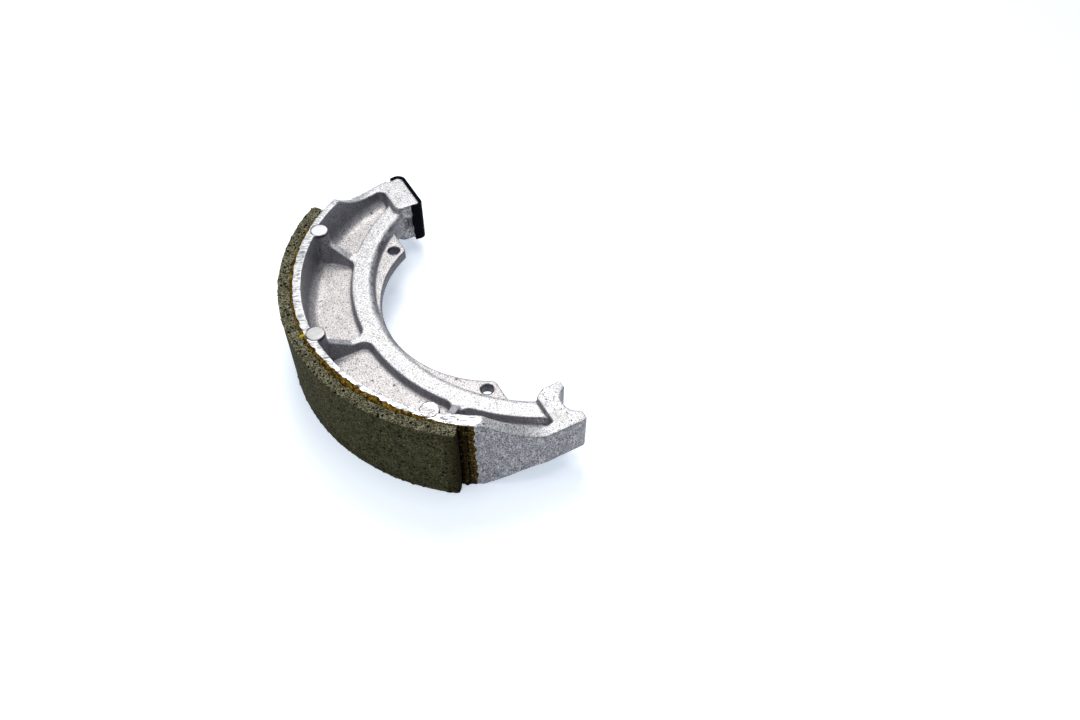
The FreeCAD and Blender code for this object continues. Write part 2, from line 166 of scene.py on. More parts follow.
def ramp(value: Array, low: float, high: float) -> Array:
    """Rise smoothly from 0 at low to 1 at high.

    Args:
        value: Where to sample.
        low: Where the ramp starts.
        high: Where the ramp ends; it may lie below low.

    Returns:
        One value from 0 to 1 for each sample.
    """
    share = np.clip((value - low) / (high - low), 0, 1)
    return share * share * (3 - 2 * share)


def ripple(points: Array, cell: float, seed: int) -> Array:
    """Sample a smooth random field.

    Args:
        points: Where to sample, in millimetres.
        cell: Size of one ripple in millimetres.
        seed: Picks the pattern.

    Returns:
        One value from -1 to 1 for each point.
    """
    place = points / cell
    base = np.floor(place).astype(np.int64)
    part = place - base
    part = part * part * (3 - 2 * part)
    total = np.zeros(len(points))
    for corner in itertools.product((0, 1), repeat=3):
        x, y, z = (base + np.array(corner)).T
        mixed = x * 73856093 ^ y * 19349663 ^ z * 83492791 ^ seed * 2654435761
        mixed = (mixed ^ (mixed >> 13)) * 1274126177 & 0x7FFFFFFF
        value = (mixed ^ (mixed >> 16)) % 65536 / 32767.5 - 1
        total += np.prod(np.where(np.array(corner) == 1, part, 1 - part), axis=1) * value
    return total


def line_ripple(along: Array, cell: float, seed: int, other: float = 0.0) -> Array:
    """Sample the random field along one axis only.

    Args:
        along: Places on that axis, in millimetres.
        cell: Size of one ripple in millimetres.
        seed: Picks the pattern.
        other: The one place on the third axis.

    Returns:
        One value from -1 to 1 for each place.
    """
    return ripple(np.stack([along, along * 0, along * 0 + other], 1), cell, seed)


class Work:
    """A mesh being worked, with its edges, points and normals as arrays in millimetres."""

    def __init__(self, mesh: Mesh) -> None:
        """Read the mesh.

        Args:
            mesh: The mesh, which is changed in place.
        """
        self.mesh = mesh
        self.edges = self._read(mesh.edges, "vertices", 2, np.int32)
        self.points = self._read(mesh.vertices, "co", 3, np.float32).astype(float) / MM
        self.normals = self._read(mesh.vertex_normals, "vector", 3, np.float32).astype(float)

    @staticmethod
    def _read(items: bpy.types.bpy_prop_collection, field: str, width: int, kind: type) -> Array:
        """Read one field of many items.

        Args:
            items: The items.
            field: Name of the field.
            width: How many numbers it holds.
            kind: Kind of its numbers.

        Returns:
            One row for each item.
        """
        flat = np.empty(len(items) * width, kind)
        items.foreach_get(field, flat)
        return flat.reshape(-1, width)

    def move(self, points: Array) -> None:
        """Move the mesh's points and read its normals again.

        Args:
            points: The new points.
        """
        self.points = points
        self.mesh.vertices.foreach_set("co", (points * MM).astype(np.float32).ravel())
        self.mesh.update()
        self.normals = self._read(self.mesh.vertex_normals, "vector", 3, np.float32).astype(float)

    def keep_level(self, low: float, high: float) -> None:
        """Keep the points between two heights in millimetres."""
        self.points[:, 2] = np.clip(self.points[:, 2], low, high)
        self.move(self.points)

    def relaxed(self, weight: Array | float, rounds: int, start: Array | None = None) -> Array:
        """Round off the points by drawing each towards its neighbours.

        Args:
            weight: How far each point follows its neighbours, from 0 to 1.
            rounds: How many times the points move.
            start: Where the points start, if not where they are.

        Returns:
            The moved points; the mesh stays as it is.
        """
        moved = (self.points if start is None else start).copy()
        one, other, count = self.edges[:, 0], self.edges[:, 1], len(moved)
        degree = np.bincount(self.edges.ravel(), minlength=count)[:, None]
        for _ in range(rounds):
            total = np.empty_like(moved)
            for axis in range(3):
                column = moved[:, axis]
                total[:, axis] = np.bincount(one, column[other], count)
                total[:, axis] += np.bincount(other, column[one], count)
            moved += np.reshape(weight, (-1, 1)) * (total / degree - moved)
        return moved

    def bend(self, spread: Array) -> Array:
        """Tell how far relaxed points lie outside the surface."""
        return np.einsum("ij,ij->i", spread - self.points, self.normals)

    @property
    def radius(self) -> Array:
        """Distance of each point from the drum's axis."""
        return np.hypot(self.points[:, 0], self.points[:, 1])

    @property
    def angle(self) -> Array:
        """Angle of each point round the drum's axis, in degrees."""
        return np.degrees(np.arctan2(self.points[:, 1], self.points[:, 0]))

    @property
    def off_middle(self) -> Array:
        """Distance of each point from the shoe's middle plane."""
        return np.abs(self.points[:, 2] - WIDTH / 2)

    @property
    def flatness(self) -> Array:
        """How far each point faces along the drum's axis, from 0 to 1."""
        return np.abs(self.normals[:, 2])

    @property
    def outward(self) -> Array:
        """How far each point faces away from the drum's axis, from -1 to 1."""
        return np.sum(self.points[:, :2] * self.normals[:, :2], 1) / self.radius


def placed(name: str, data: bpy.types.ID) -> bpy.types.Object:
    """Put an object into the scene.

    Args:
        name: Its name.
        data: Its mesh, camera or lamp.

    Returns:
        The object.
    """
    thing = bpy.data.objects.new(name, data)
    bpy.context.scene.collection.objects.link(thing)
    return thing


def worked(
    mesh: Mesh,
    name: str,
    kind: str,
    settings: dict[str, object],
    inputs: dict[str, object] | None = None,
) -> Mesh:
    """Run one modifier over a mesh and keep the plain result.

    Args:
        mesh: The mesh to start from.
        name: Name of the result.
        kind: Blender's word for the modifier.
        settings: Its settings by property name.
        inputs: Its tree's inputs by socket identifier.

    Returns:
        A new plain mesh.
    """
    holder = placed(name + "_blank", mesh)
    modifier = holder.modifiers.new(kind, kind)
    for key, value in settings.items():
        setattr(modifier, key, value)
    for key, value in (inputs or {}).items():
        modifier[key] = value
    graph = bpy.context.evaluated_depsgraph_get()
    made = bpy.data.meshes.new_from_object(holder.evaluated_get(graph))
    made.name = name
    holder.modifiers.remove(modifier)
    bpy.data.objects.remove(holder)
    return made


def grown(mesh: Mesh, name: str, tree: Tree, **inputs: object) -> Mesh:
    """Run a Geometry Nodes tree over a mesh and keep the plain result.

    Args:
        mesh: What the tree starts from.
        name: Name of the result.
        tree: The tree.
        **inputs: Its inputs, by name with _ for a space.

    Returns:
        A new plain mesh.
    """
    items = tree.interface.items_tree
    sockets = {item.name: item.identifier for item in items if item.in_out == "INPUT"}
    given = {sockets[key.replace("_", " ")]: value for key, value in inputs.items()}
    return worked(mesh, name, "NODES", {"node_group": tree}, given)


def close_skin(node: str, name: str, voxel: float) -> Mesh:
    """Copy a node's solid and give it a close, even skin.

    Args:
        node: The node.
        name: Name of the skin.
        voxel: Size of its faces in millimetres.

    Returns:
        A dense mesh of even quads.
    """
    blank = bpy.data.objects[node].data.copy()
    face_outwards(blank)
    settings = {"mode": "VOXEL", "voxel_size": voxel * MM, "adaptivity": 0.0}
    return worked(blank, name, "REMESH", settings)


def finished(
    mesh: Mesh, name: str, node: str, material: bpy.types.Material
) -> bpy.types.Object:
    """Stand a finished mesh in for a node of the part.

    Args:
        mesh: The finished mesh.
        name: Name of the piece.
        node: The node that the piece stands for.
        material: The piece's material.

    Returns:
        The piece, riding on the part.
    """
    mesh.materials.clear()
    mesh.materials.append(material)
    mesh.shade_smooth()
    piece = placed(name, mesh)
    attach(piece, "root")
    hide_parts(node)
    LOG.info("%s: %d faces", name, len(mesh.polygons))
    return piece


# Node helpers


@dataclass
class NodeBench:
    """Puts nodes into one tree and joins them."""

    tree: Tree

    def feed(self, node: Node, **feeds: Feed) -> None:
        """Feed a node's inputs.

        Args:
            node: The node.
            **feeds: A socket or a plain value for each input, by name with _ for a
                space, or by number after the letter i.
        """
        for key, feed in feeds.items():
            numbered = key[0] == "i" and key[1:].isdigit()
            socket = node.inputs[int(key[1:]) if numbered else key.replace("_", " ")]
            if isinstance(feed, Socket):
                self.tree.links.new(feed, socket)
            else:
                socket.default_value = feed

    def put(self, kind: str, setup: dict[str, object] | None = None, **feeds: Feed) -> Outputs:
        """Add a node.

        Args:
            kind: Blender's word for the node.
            setup: Properties of the node itself.
            **feeds: Its inputs, as feed takes them.

        Returns:
            The new node's outputs.
        """
        node = self.tree.nodes.new(kind)
        for key, value in (setup or {}).items():
            setattr(node, key, value)
        self.feed(node, **feeds)
        return node.outputs

    def group(self, tree: Tree, **feeds: Feed) -> Outputs:
        """Place a shared group and give its outputs."""
        return self.put("ShaderNodeGroup", {"node_tree": tree}, **feeds)

    def maths(
        self, action: str, first: Feed, second: Feed = 0.0, third: Feed = 0.0, clamp: bool = False
    ) -> Socket:
        """Add a Math node, whose result may be kept from 0 to 1, and give its result."""
        setup = {"operation": action, "use_clamp": clamp}
        return self.put("ShaderNodeMath", setup, i0=first, i1=second, i2=third)[0]

    def times(self, *factors: Feed) -> Feed:
        """Multiply values.

        Args:
            *factors: The values.

        Returns:
            Their product.
        """
        product = factors[0]
        for factor in factors[1:]:
            product = self.maths("MULTIPLY", product, factor)
        return product

    def less(self, first: Feed, second: Feed) -> Socket:
        """Take the second value from the first."""
        return self.maths("SUBTRACT", first, second)

    def band(
        self, value: Feed, low: float, high: float, start: float = 0.0, end: float = 1.0
    ) -> Socket:
        """Add a smooth Map Range node.

        Args:
            value: What to map.
            low: Input that gives start.
            high: Input that gives end.
            start: Output at low.
            end: Output at high.

        Returns:
            The mapped value.
        """
        setup = {"interpolation_type": "SMOOTHSTEP"}
        span = {"From_Min": low, "From_Max": high, "To_Min": start, "To_Max": end}
        return self.put("ShaderNodeMapRange", setup, Value=value, **span)[0]

    def mixed(self, share: Feed, first: Feed, second: Feed, blend: str = "MIX") -> Socket:
        """Add a colour Mix node: share says how much of the second colour shows."""
        setup = {"data_type": "RGBA", "blend_type": blend, "clamp_factor": True}
        return self.put("ShaderNodeMix", setup, i0=share, i6=first, i7=second)[2]

    def over(self, tone: Feed, colour: Feed, *shares: Feed) -> Socket:
        """Lay a colour over another; the shares' product says how much of it shows."""
        return self.mixed(self.times(*shares), tone, colour)

    def blended(self, share: Feed, first: Feed, second: Feed) -> Socket:
        """Mix two numbers."""
        return self.put("ShaderNodeMix", {"data_type": "FLOAT"}, i0=share, i2=first, i3=second)[0]

    def vector(self, action: str, **feeds: Feed) -> Socket:
        """Add a Vector Math node."""
        return self.put("ShaderNodeVectorMath", {"operation": action}, **feeds)[0]

    def noise(self, vector: Feed, size: Feed, detail: float = 2.0, roughness: float = 0.5) -> Socket:
        """Add a Noise Texture for a lump size in millimetres; its middle is about 0.5."""
        scale = self.maths("DIVIDE", 1 / MM, size) if isinstance(size, Socket) else 1 / (MM * size)
        feeds = {"Vector": vector, "Scale": scale, "Detail": detail, "Roughness": roughness}
        return self.put("ShaderNodeTexNoise", **feeds)["Fac"]

    def bump(self, height: Feed, strength: float, depth: float) -> Socket:
        """Turn a height from 0 to 1 into a normal; depth is the full height in millimetres."""
        return self.put("ShaderNodeBump", Strength=strength, Distance=depth * MM, Height=height)[0]

    def attribute(self, name: str) -> Socket:
        """Read a named attribute of the piece."""
        return self.put("ShaderNodeAttribute", {"attribute_name": name})["Fac"]

    def place(self) -> Socket:
        """Read the place on the piece."""
        return self.put("ShaderNodeTexCoord")["Object"]


def new_group(
    name: str, kind: str, inputs: dict[str, float | int | str], *outputs: str
) -> tuple[NodeBench, Outputs, Node]:
    """Make an empty node group with named sockets.

    Args:
        name: Name of the group.
        kind: Shader or Geometry.
        inputs: Start value of each input, or the kind of its socket.
        *outputs: Names of the outputs.

    Returns:
        A bench on the group, what its inputs give and its output node.
    """
    tree = bpy.data.node_groups.new(name, f"{kind}NodeTree")
    for label, value in inputs.items():
        socket = value if isinstance(value, str) else "Int" if isinstance(value, int) else "Float"
        made = tree.interface.new_socket(label, in_out="INPUT", socket_type=f"NodeSocket{socket}")
        if not isinstance(value, str):
            made.default_value = value
    for label in outputs:
        socket = "Geometry" if kind == "Geometry" else "Float"
        tree.interface.new_socket(label, in_out="OUTPUT", socket_type=f"NodeSocket{socket}")
    bench = NodeBench(tree)
    return bench, bench.put("NodeGroupInput"), tree.nodes.new("NodeGroupOutput")


def new_material(name: str) -> tuple[bpy.types.Material, NodeBench, Node]:
    """Make a material that holds one Principled shader.

    Args:
        name: Name of the material.

    Returns:
        The material, a bench on its tree and its shader.
    """
    material = bpy.data.materials.new(name)
    material.use_nodes = True
    nodes = material.node_tree.nodes
    nodes.clear()
    bench = NodeBench(material.node_tree)
    shader = nodes.new("ShaderNodeBsdfPrincipled")
    bench.put("ShaderNodeOutputMaterial", Surface=shader.outputs[0])
    return material, bench, shader


# Shared shader groups


class SharedEffects:
    """Shader groups that more than one finish uses, each built once."""

    def __init__(self) -> None:
        """Build the groups."""
        self.specks = self._specks()
        self.grain = self._grain()
        self.scratches = self._scratches()
        self.round_mark = self._round_mark()

    def _specks(self) -> Tree:
        """Build the group that scatters small round specks.

        Returns:
            The group, which gives their mask and a random tone for each.
        """
        sizes = {"Cell Size": 1.0, "Speck Size": 0.3, "Share": 0.5}
        bench, given, end = new_group("specks", "Shader", sizes, "Mask", "Tone")
        place = bench.place()
        ripples = {"Vector": place, "Scale": 1 / (0.5 * MM), "Detail": 1.0}
        wobble = bench.put("ShaderNodeTexNoise", **ripples)["Color"]
        shifted = bench.vector("MULTIPLY_ADD", i0=wobble, i1=(0.25 * MM,) * 3, i2=place)
        scale = bench.maths("DIVIDE", 1 / MM, given["Cell Size"])
        cells = bench.put("ShaderNodeTexVoronoi", Vector=shifted, Scale=scale)
        chance, spread, tone = bench.put("ShaderNodeSeparateColor", Color=cells["Color"])
        size = bench.times(given["Speck Size"], bench.maths("MULTIPLY_ADD", spread, 0.9, 0.45))
        inner = bench.less(size, cells["Distance"])
        near = bench.maths("DIVIDE", inner, bench.times(size, 0.35), clamp=True)
        chosen = bench.maths("LESS_THAN", chance, given["Share"])
        bench.feed(end, Mask=bench.times(near, chosen), Tone=tone)
        return bench.tree

    def _grain(self) -> Tree:
        """Build the group for an uneven surface of coarse and fine grain.

        Returns:
            The group, which gives a height, a cloudy tone and a fine tone.
        """
        sizes = {"Coarse Size": 1.5, "Fine Size": 0.3, "Fine Share": 0.5}
        bench, given, end = new_group("uneven_grain", "Shader", sizes, "Height", "Cloud", "Fine")
        place = bench.place()
        coarse = bench.noise(place, given["Coarse Size"], 2.0, 0.5)
        fine = bench.noise(place, given["Fine Size"], 3.0, 0.6)
        fine_part = bench.times(fine, given["Fine Share"])
        coarse_part = bench.times(coarse, bench.less(1.0, given["Fine Share"]))
        height = bench.maths("ADD", fine_part, coarse_part)
        cloud, fine_tone = bench.band(coarse, 0.3, 0.7), bench.band(fine, 0.3, 0.7)
        bench.feed(end, Height=height, Cloud=cloud, Fine=fine_tone)
        return bench.tree

    def _scratches(self) -> Tree:
        """Build the group for fine straight scratches in one direction.

        Returns:
            The group, which gives their mask.
        """
        sizes = {"Turn": 0.0, "Tilt": 0.0, "Spacing": 0.3, "Length": 4.0}
        bench, given, end = new_group("scratches", "Shader", sizes, "Mask")
        turn = bench.put("ShaderNodeCombineXYZ", X=given["Tilt"], Y=0.0, Z=given["Turn"])[0]
        setup = {"rotation_type": "EULER_XYZ"}
        turned = bench.put("ShaderNodeVectorRotate", setup, Vector=bench.place(), Rotation=turn)[0]
        across = bench.maths("DIVIDE", 1 / MM, given["Spacing"])
        along = bench.maths("DIVIDE", 1 / MM, given["Length"])
        stretch = bench.put("ShaderNodeCombineXYZ", X=across, Y=along, Z=across)[0]
        narrow = bench.vector("MULTIPLY", i0=turned, i1=stretch)
        lines = bench.noise(narrow, 1 / MM, 2.0, 0.7)
        bench.feed(end, Mask=bench.band(lines, 0.45, 0.59))
        return bench.tree

    def _round_mark(self) -> Tree:
        """Build the group that finds a round spot that stands along Z.

        Returns:
            The group, which gives masks of the spot and of its thin outline.
        """
        sizes = {"Centre X": 0.0, "Centre Y": 0.0, "Radius": 2.8, "Line": 0.2, "Lowest": 27.5}
        bench, given, end = new_group("round_mark", "Shader", sizes, "Inside", "Outline")
        apart = bench.put("ShaderNodeSeparateXYZ", Vector=bench.place())
        x, y, z = (bench.maths("DIVIDE", part, MM) for part in apart)
        across, along = bench.less(x, given["Centre X"]), bench.less(y, given["Centre Y"])
        squares = bench.maths("MULTIPLY_ADD", across, across, bench.times(along, along))
        inner = bench.less(given["Radius"], bench.maths("SQRT", squares))
        high = bench.maths("GREATER_THAN", z, given["Lowest"])
        off = bench.maths("DIVIDE", bench.maths("ABSOLUTE", inner), given["Line"])
        line = bench.maths("SUBTRACT", 1.0, bench.times(off, off), clamp=True)
        inside = bench.times(bench.band(inner, -0.1, 0.1), high)
        bench.feed(end, Inside=inside, Outline=bench.times(line, high))
        return bench.tree


# Finishes


@dataclass(frozen=True)
class CastNodes:
    """What the layers of the cast finish share: the bench, the shared groups and their outputs."""

    bench: NodeBench
    shared: SharedEffects
    grain: Outputs
    salt: Outputs
    strokes: Outputs

    def spot(
        self, place: tuple[float, float], radius: float, line: float, lowest: float = 0.0
    ) -> Outputs:
        """Find a round spot: masks of it and of its outline, from a lowest height up."""
        centre = {"Centre_X": place[0], "Centre_Y": place[1]}
        sizes = {"Radius": radius, "Line": line, "Lowest": lowest}
        return self.bench.group(self.shared.round_mark, **centre, **sizes)


@dataclass(frozen=True)
class CastAluminium:
    """Die-cast aluminium: grainy cast skin, bright where it was machined, with painted shade on its
    walls, in its creases and corners and on its pocket floors.
    """

    skin: Colour = (0.80, 0.79, 0.80, 1.0)
    # Pocket floors, darker than the tops: painted shade in the recess
    floor: Colour = (0.70, 0.672, 0.672, 1.0)
    # Painted shade for walls and concave corners, also used for real dark blotches
    shade_and_blotch: Colour = (0.28, 0.272, 0.30, 1.0)
    flank: Colour = (0.150, 0.138, 0.143, 1.0)
    bright: Colour = (0.86, 0.86, 0.86, 1.0)
    dull: Colour = (0.56, 0.555, 0.55, 1.0)
    fleck: Colour = (0.20, 0.185, 0.185, 1.0)
    stroke: Colour = (0.20, 0.205, 0.23, 1.0)
    # Dark pits, trimmed flash and pad rings, and painted shade in creases and round the spring-hole
    # lips
    dark_mark_and_shade: Colour = (0.030, 0.030, 0.042, 1.0)
    metal: float = 0.5
    pad_reach: float = 57.6
    pad_radius: float = 2.68
    pads: tuple[tuple[float, PadFinish], ...] = (
        (45.0, PadFinish.BRIGHT),
        (90.0, PadFinish.DULL),
        (135.0, PadFinish.ROUGH),
    )
    spring_hole: tuple[float, float] = (33.31, 19.78)
    spring_lip_radius: float = 1.95
    anchor_mark: tuple[float, float] = (-54.6, 8.1)
    anchor_mark_radius: float = 2.3
    cam_block: tuple[float, float] = (54.0, 9.0)
    cam_block_radius: float = 10.5

    def material(self, shared: SharedEffects) -> bpy.types.Material:
        """Build the finish.

        Args:
            shared: The shared shader groups.

        Returns:
            The material.
        """
        material, bench, shader = new_material("cast_aluminium_dressed")
        grain = bench.group(shared.grain, Coarse_Size=2.4, Fine_Size=0.36, Fine_Share=0.6)
        pits = bench.group(shared.specks, Cell_Size=2.4, Speck_Size=0.15, Share=0.4)
        dots = bench.group(shared.specks, Cell_Size=0.85, Speck_Size=0.36, Share=0.55)
        salt = bench.group(shared.specks, Cell_Size=0.62, Speck_Size=0.46, Share=0.7)
        strokes = bench.group(shared.scratches, Turn=0.45, Spacing=0.36, Length=2.2)
        nodes = CastNodes(bench, shared, grain, salt, strokes)
        tone = self._flank_tone(nodes, self._cast_tone(nodes))
        dimpled = bench.times(dots["Mask"], bench.band(grain["Cloud"], 0.35, 0.85, 0.0, 0.55))
        tone = bench.over(tone, self.fleck, dimpled, bench.attribute("lift"))
        tone = self._machined_tone(nodes, tone)
        # Broad darkening towards concave corners: painted shade
        tone = bench.over(tone, self.shade_and_blotch, bench.attribute("patina"), 0.6)
        # Dark in tight hollows: painted shade in creases
        tone = bench.over(tone, self.dark_mark_and_shade, bench.attribute("hollow"), 0.85)
        ragged = bench.band(grain["Fine"], 0.15, 0.55, 0.2, 0.95)
        tone = bench.over(tone, self.dark_mark_and_shade, bench.attribute("trimmed"), ragged)
        tone = bench.over(tone, self.dark_mark_and_shade, pits["Mask"], 0.85)
        machined = bench.attribute("machined")
        rough = bench.band(grain["Fine"], 0.0, 1.0, 0.4, 0.56)
        smooth = bench.band(strokes["Mask"], 0.0, 1.0, 0.34, 0.5)
        cast_height = bench.less(grain["Height"], bench.times(pits["Mask"], 0.9))
        height = bench.blended(machined, cast_height, bench.times(strokes["Mask"], -0.3))
        bench.feed(
            shader, Base_Color=tone, Metallic=self.metal,
            Roughness=bench.blended(machined, rough, smooth), Normal=bench.bump(height, 0.75, 0.15),
        )
        return material

    def _cast_tone(self, nodes: CastNodes) -> Socket:
        """Mix the colour of the cast skin.

        Args:
            nodes: The bench and the groups.

        Returns:
            The colour.
        """
        bench, grain, salt = nodes.bench, nodes.grain, nodes.salt
        lift = bench.attribute("lift")
        # Darker pocket floors: painted shade in the recess
        tone = bench.mixed(bench.attribute("sunk"), self.skin, self.floor)
        # Walls darker than flat faces: painted shade of a light from above
        tone = bench.mixed(lift, self.shade_and_blotch, tone)
        cloudy = bench.band(grain["Cloud"], 0.15, 0.85, 0.93, 1.05)
        grainy = bench.times(cloudy, bench.band(grain["Fine"], 0.15, 0.75, 0.5, 1.15))
        grey = bench.put("ShaderNodeCombineColor", Red=grainy, Green=grainy, Blue=grainy)[0]
        tone = bench.mixed(1.0, tone, grey, "MULTIPLY")
        uneven = bench.band(grain["Cloud"], 0.1, 0.9, 1.0, 0.55)
        dark = bench.times(bench.band(salt["Tone"], 0.3, 0.7, 0.0, 0.95), uneven)
        tone = bench.over(tone, self.fleck, salt["Mask"], dark)
        pale = bench.times(salt["Mask"], bench.band(salt["Tone"], 0.4, 0.15, 0.0, 0.3))
        tone = bench.over(tone, self.bright, pale, lift)
        return bench.over(tone, self.bright, bench.attribute("crest"), 0.35)

    def _flank_tone(self, nodes: CastNodes, tone: Socket) -> Socket:
        """Mottle the outer sides of the two end blocks.

        Args:
            nodes: The bench and the groups.
            tone: The cast colour.

        Returns:
            The colour.
        """
        bench, grain = nodes.bench, nodes.grain
        streaks = bench.group(nodes.shared.scratches, Tilt=math.pi / 2, Spacing=0.55, Length=2.8)
        side = bench.over(self.flank, self.skin, bench.band(grain["Fine"], 0.4, 0.85), 0.7)
        faint = bench.band(grain["Cloud"], 0.2, 0.8, 0.15, 0.5)
        side = bench.over(side, self.skin, streaks["Mask"], faint)
        side = bench.over(side, self.shade_and_blotch, bench.band(grain["Cloud"], 0.5, 0.05, 0.0, 0.5))
        side = bench.over(side, self.dark_mark_and_shade, nodes.salt["Mask"], 0.7)
        return bench.mixed(bench.attribute("flank"), tone, side)

    def _machined_tone(self, nodes: CastNodes, tone: Socket) -> Socket:
        """Lay the machined rim, the ejector pads and the round marks over the cast colour.

        Args:
            nodes: The bench and the groups.
            tone: The cast colour.

        Returns:
            The colour.
        """
        bench, grain = nodes.bench, nodes.grain
        broken = bench.band(grain["Cloud"], 0.15, 0.7, 0.45, 1.0)
        cut = bench.over(self.bright, self.stroke, nodes.strokes["Mask"], broken, 0.95)
        tone = bench.mixed(bench.attribute("machined"), tone, cut)
        mottle = bench.band(grain["Height"], 0.44, 0.54, 0.1, 0.7)
        faces = {
            PadFinish.BRIGHT: self.bright,
            PadFinish.DULL: self.dull,
            PadFinish.ROUGH: bench.mixed(mottle, self.bright, self.fleck),
        }
        outline: Feed = 0.0
        for angle, finish in self.pads:
            turn = math.radians(angle)
            centre = (self.pad_reach * math.cos(turn), self.pad_reach * math.sin(turn))
            pad = nodes.spot(centre, self.pad_radius, 0.3, WIDTH - 1.0)
            tone = bench.mixed(pad["Inside"], tone, faces[finish])
            outline = bench.maths("MAXIMUM", outline, pad["Outline"])
        x, y = self.spring_hole
        # The dark rings round the spring-hole lips are painted shade at the holes' rims
        for centre in ((-x, y), (x, y)):
            lip = nodes.spot(centre, self.spring_lip_radius, 0.35)
            outline = bench.maths("MAXIMUM", outline, lip["Outline"])
        mark = nodes.spot(self.anchor_mark, self.anchor_mark_radius, 0.3)
        level = bench.times(mark["Inside"], bench.attribute("lift"))
        tone = bench.over(tone, self.fleck, level, bench.times(mottle, 0.4))
        blotch = bench.band(grain["Height"], 0.46, 0.56, 0.0, 0.9)
        block = nodes.spot(self.cam_block, self.cam_block_radius, 0.1, WIDTH - 0.8)
        tone = bench.over(tone, self.shade_and_blotch, block["Inside"], blotch)
        return bench.over(tone, self.dark_mark_and_shade, outline, bench.band(grain["Cloud"], 0.1, 0.6, 0.6, 1.0))


@dataclass(frozen=True)
class FrictionCompound:
    """Moulded friction compound: olive-brown, with black pores and pale grains."""

    ground: Colour = (0.150, 0.141, 0.068, 1.0)
    side: Colour = (0.275, 0.256, 0.160, 1.0)
    dark: Colour = (0.030, 0.030, 0.015, 1.0)
    pore: Colour = (0.004, 0.004, 0.004, 1.0)
    grit: Colour = (0.34, 0.32, 0.24, 1.0)
    # Colour of the painted shade near the anchor end
    end_shade_colour: Colour = (0.026, 0.019, 0.005, 1.0)

    def material(self, shared: SharedEffects) -> bpy.types.Material:
        """Build the finish.

        Args:
            shared: The shared shader groups.

        Returns:
            The material.
        """
        material, bench, shader = new_material("friction_compound_dressed")
        grain = bench.group(shared.grain, Coarse_Size=2.6, Fine_Size=0.34, Fine_Share=0.6)
        pores = bench.group(shared.specks, Cell_Size=1.15, Speck_Size=0.39, Share=0.7)["Mask"]
        fine_pores = bench.group(shared.specks, Cell_Size=0.62, Speck_Size=0.40, Share=0.5)["Mask"]
        grit = bench.group(shared.specks, Cell_Size=1.0, Speck_Size=0.33, Share=0.4)["Mask"]
        sawn = bench.attribute("sawn")
        tone = bench.mixed(sawn, self.ground, self.side)
        tone = bench.over(tone, self.dark, bench.band(grain["Cloud"], 0.2, 1.0, 0.0, 0.45))
        tone = bench.over(tone, self.dark, bench.band(grain["Fine"], 0.25, 0.75, 0.0, 1.0))
        tone = bench.over(tone, self.grit, grit, bench.band(sawn, 0.0, 1.0, 0.3, 0.8))
        # Darker towards the anchor end: painted shade by the gap there
        tone = bench.over(tone, self.end_shade_colour, bench.attribute("stained"), 0.75)
        tone = bench.over(tone, self.pore, fine_pores, 0.9)
        open_pores = bench.times(pores, bench.band(sawn, 0.0, 1.0, 0.85, 1.0))
        tone = bench.over(tone, self.pore, open_pores)
        holes = bench.maths("MAXIMUM", open_pores, bench.times(fine_pores, 0.5))
        bench.feed(
            shader, Base_Color=tone, Metallic=0.0, Specular_IOR_Level=0.02,
            Roughness=bench.band(grain["Fine"], 0.0, 1.0, 0.62, 0.85),
            Normal=bench.bump(bench.less(grain["Height"], holes), 0.7, 0.16),
        )
        return material


@dataclass(frozen=True)
class CuredResin:
    """Cured bonding resin: amber where it is thin and near black where it is thick."""

    amber: Colour = (0.20, 0.118, 0.012, 1.0)
    brown: Colour = (0.045, 0.022, 0.004, 1.0)
    char: Colour = (0.003, 0.002, 0.001, 1.0)
    # Colour of the painted glints
    painted_glints: Colour = (0.36, 0.29, 0.09, 1.0)
    fresh: Colour = (0.50, 0.42, 0.03, 1.0)

    def material(self, shared: SharedEffects) -> bpy.types.Material:
        """Build the finish.

        Args:
            shared: The shared shader groups.

        Returns:
            The material.
        """
        material, bench, shader = new_material("cured_resin_dressed")
        grain = bench.group(shared.grain, Coarse_Size=1.1, Fine_Size=0.24, Fine_Share=0.5)
        bubbles = bench.group(shared.specks, Cell_Size=0.6, Speck_Size=0.42, Share=0.5)["Mask"]
        painted_glints = bench.group(shared.specks, Cell_Size=0.6, Speck_Size=0.42, Share=0.45)["Mask"]
        char = bench.attribute("char")
        tone = bench.mixed(bench.band(grain["Cloud"], 0.15, 0.85), self.amber, self.brown)
        tone = bench.over(tone, self.brown, bench.band(grain["Fine"], 0.35, 0.9), 0.5)
        tone = bench.over(tone, self.fresh, bench.band(char, -0.1, -1.0))
        tone = bench.over(tone, self.char, char)
        tone = bench.over(tone, self.char, bubbles, bench.band(char, 0.0, 0.4, 0.55, 0.9))
        # Pale yellow specks: painted glints of light on the resin
        tone = bench.over(tone, self.painted_glints, painted_glints, bench.band(char, 0.3, 1.0, 0.8, 0.3))
        height = bench.less(grain["Height"], bench.times(bubbles, 0.5))
        bench.feed(
            shader, Base_Color=tone, Metallic=0.0, Specular_IOR_Level=0.01,
            Roughness=bench.band(grain["Fine"], 0.0, 1.0, 0.3, 0.52),
            Normal=bench.bump(height, 0.7, 0.15),
        )
        return material


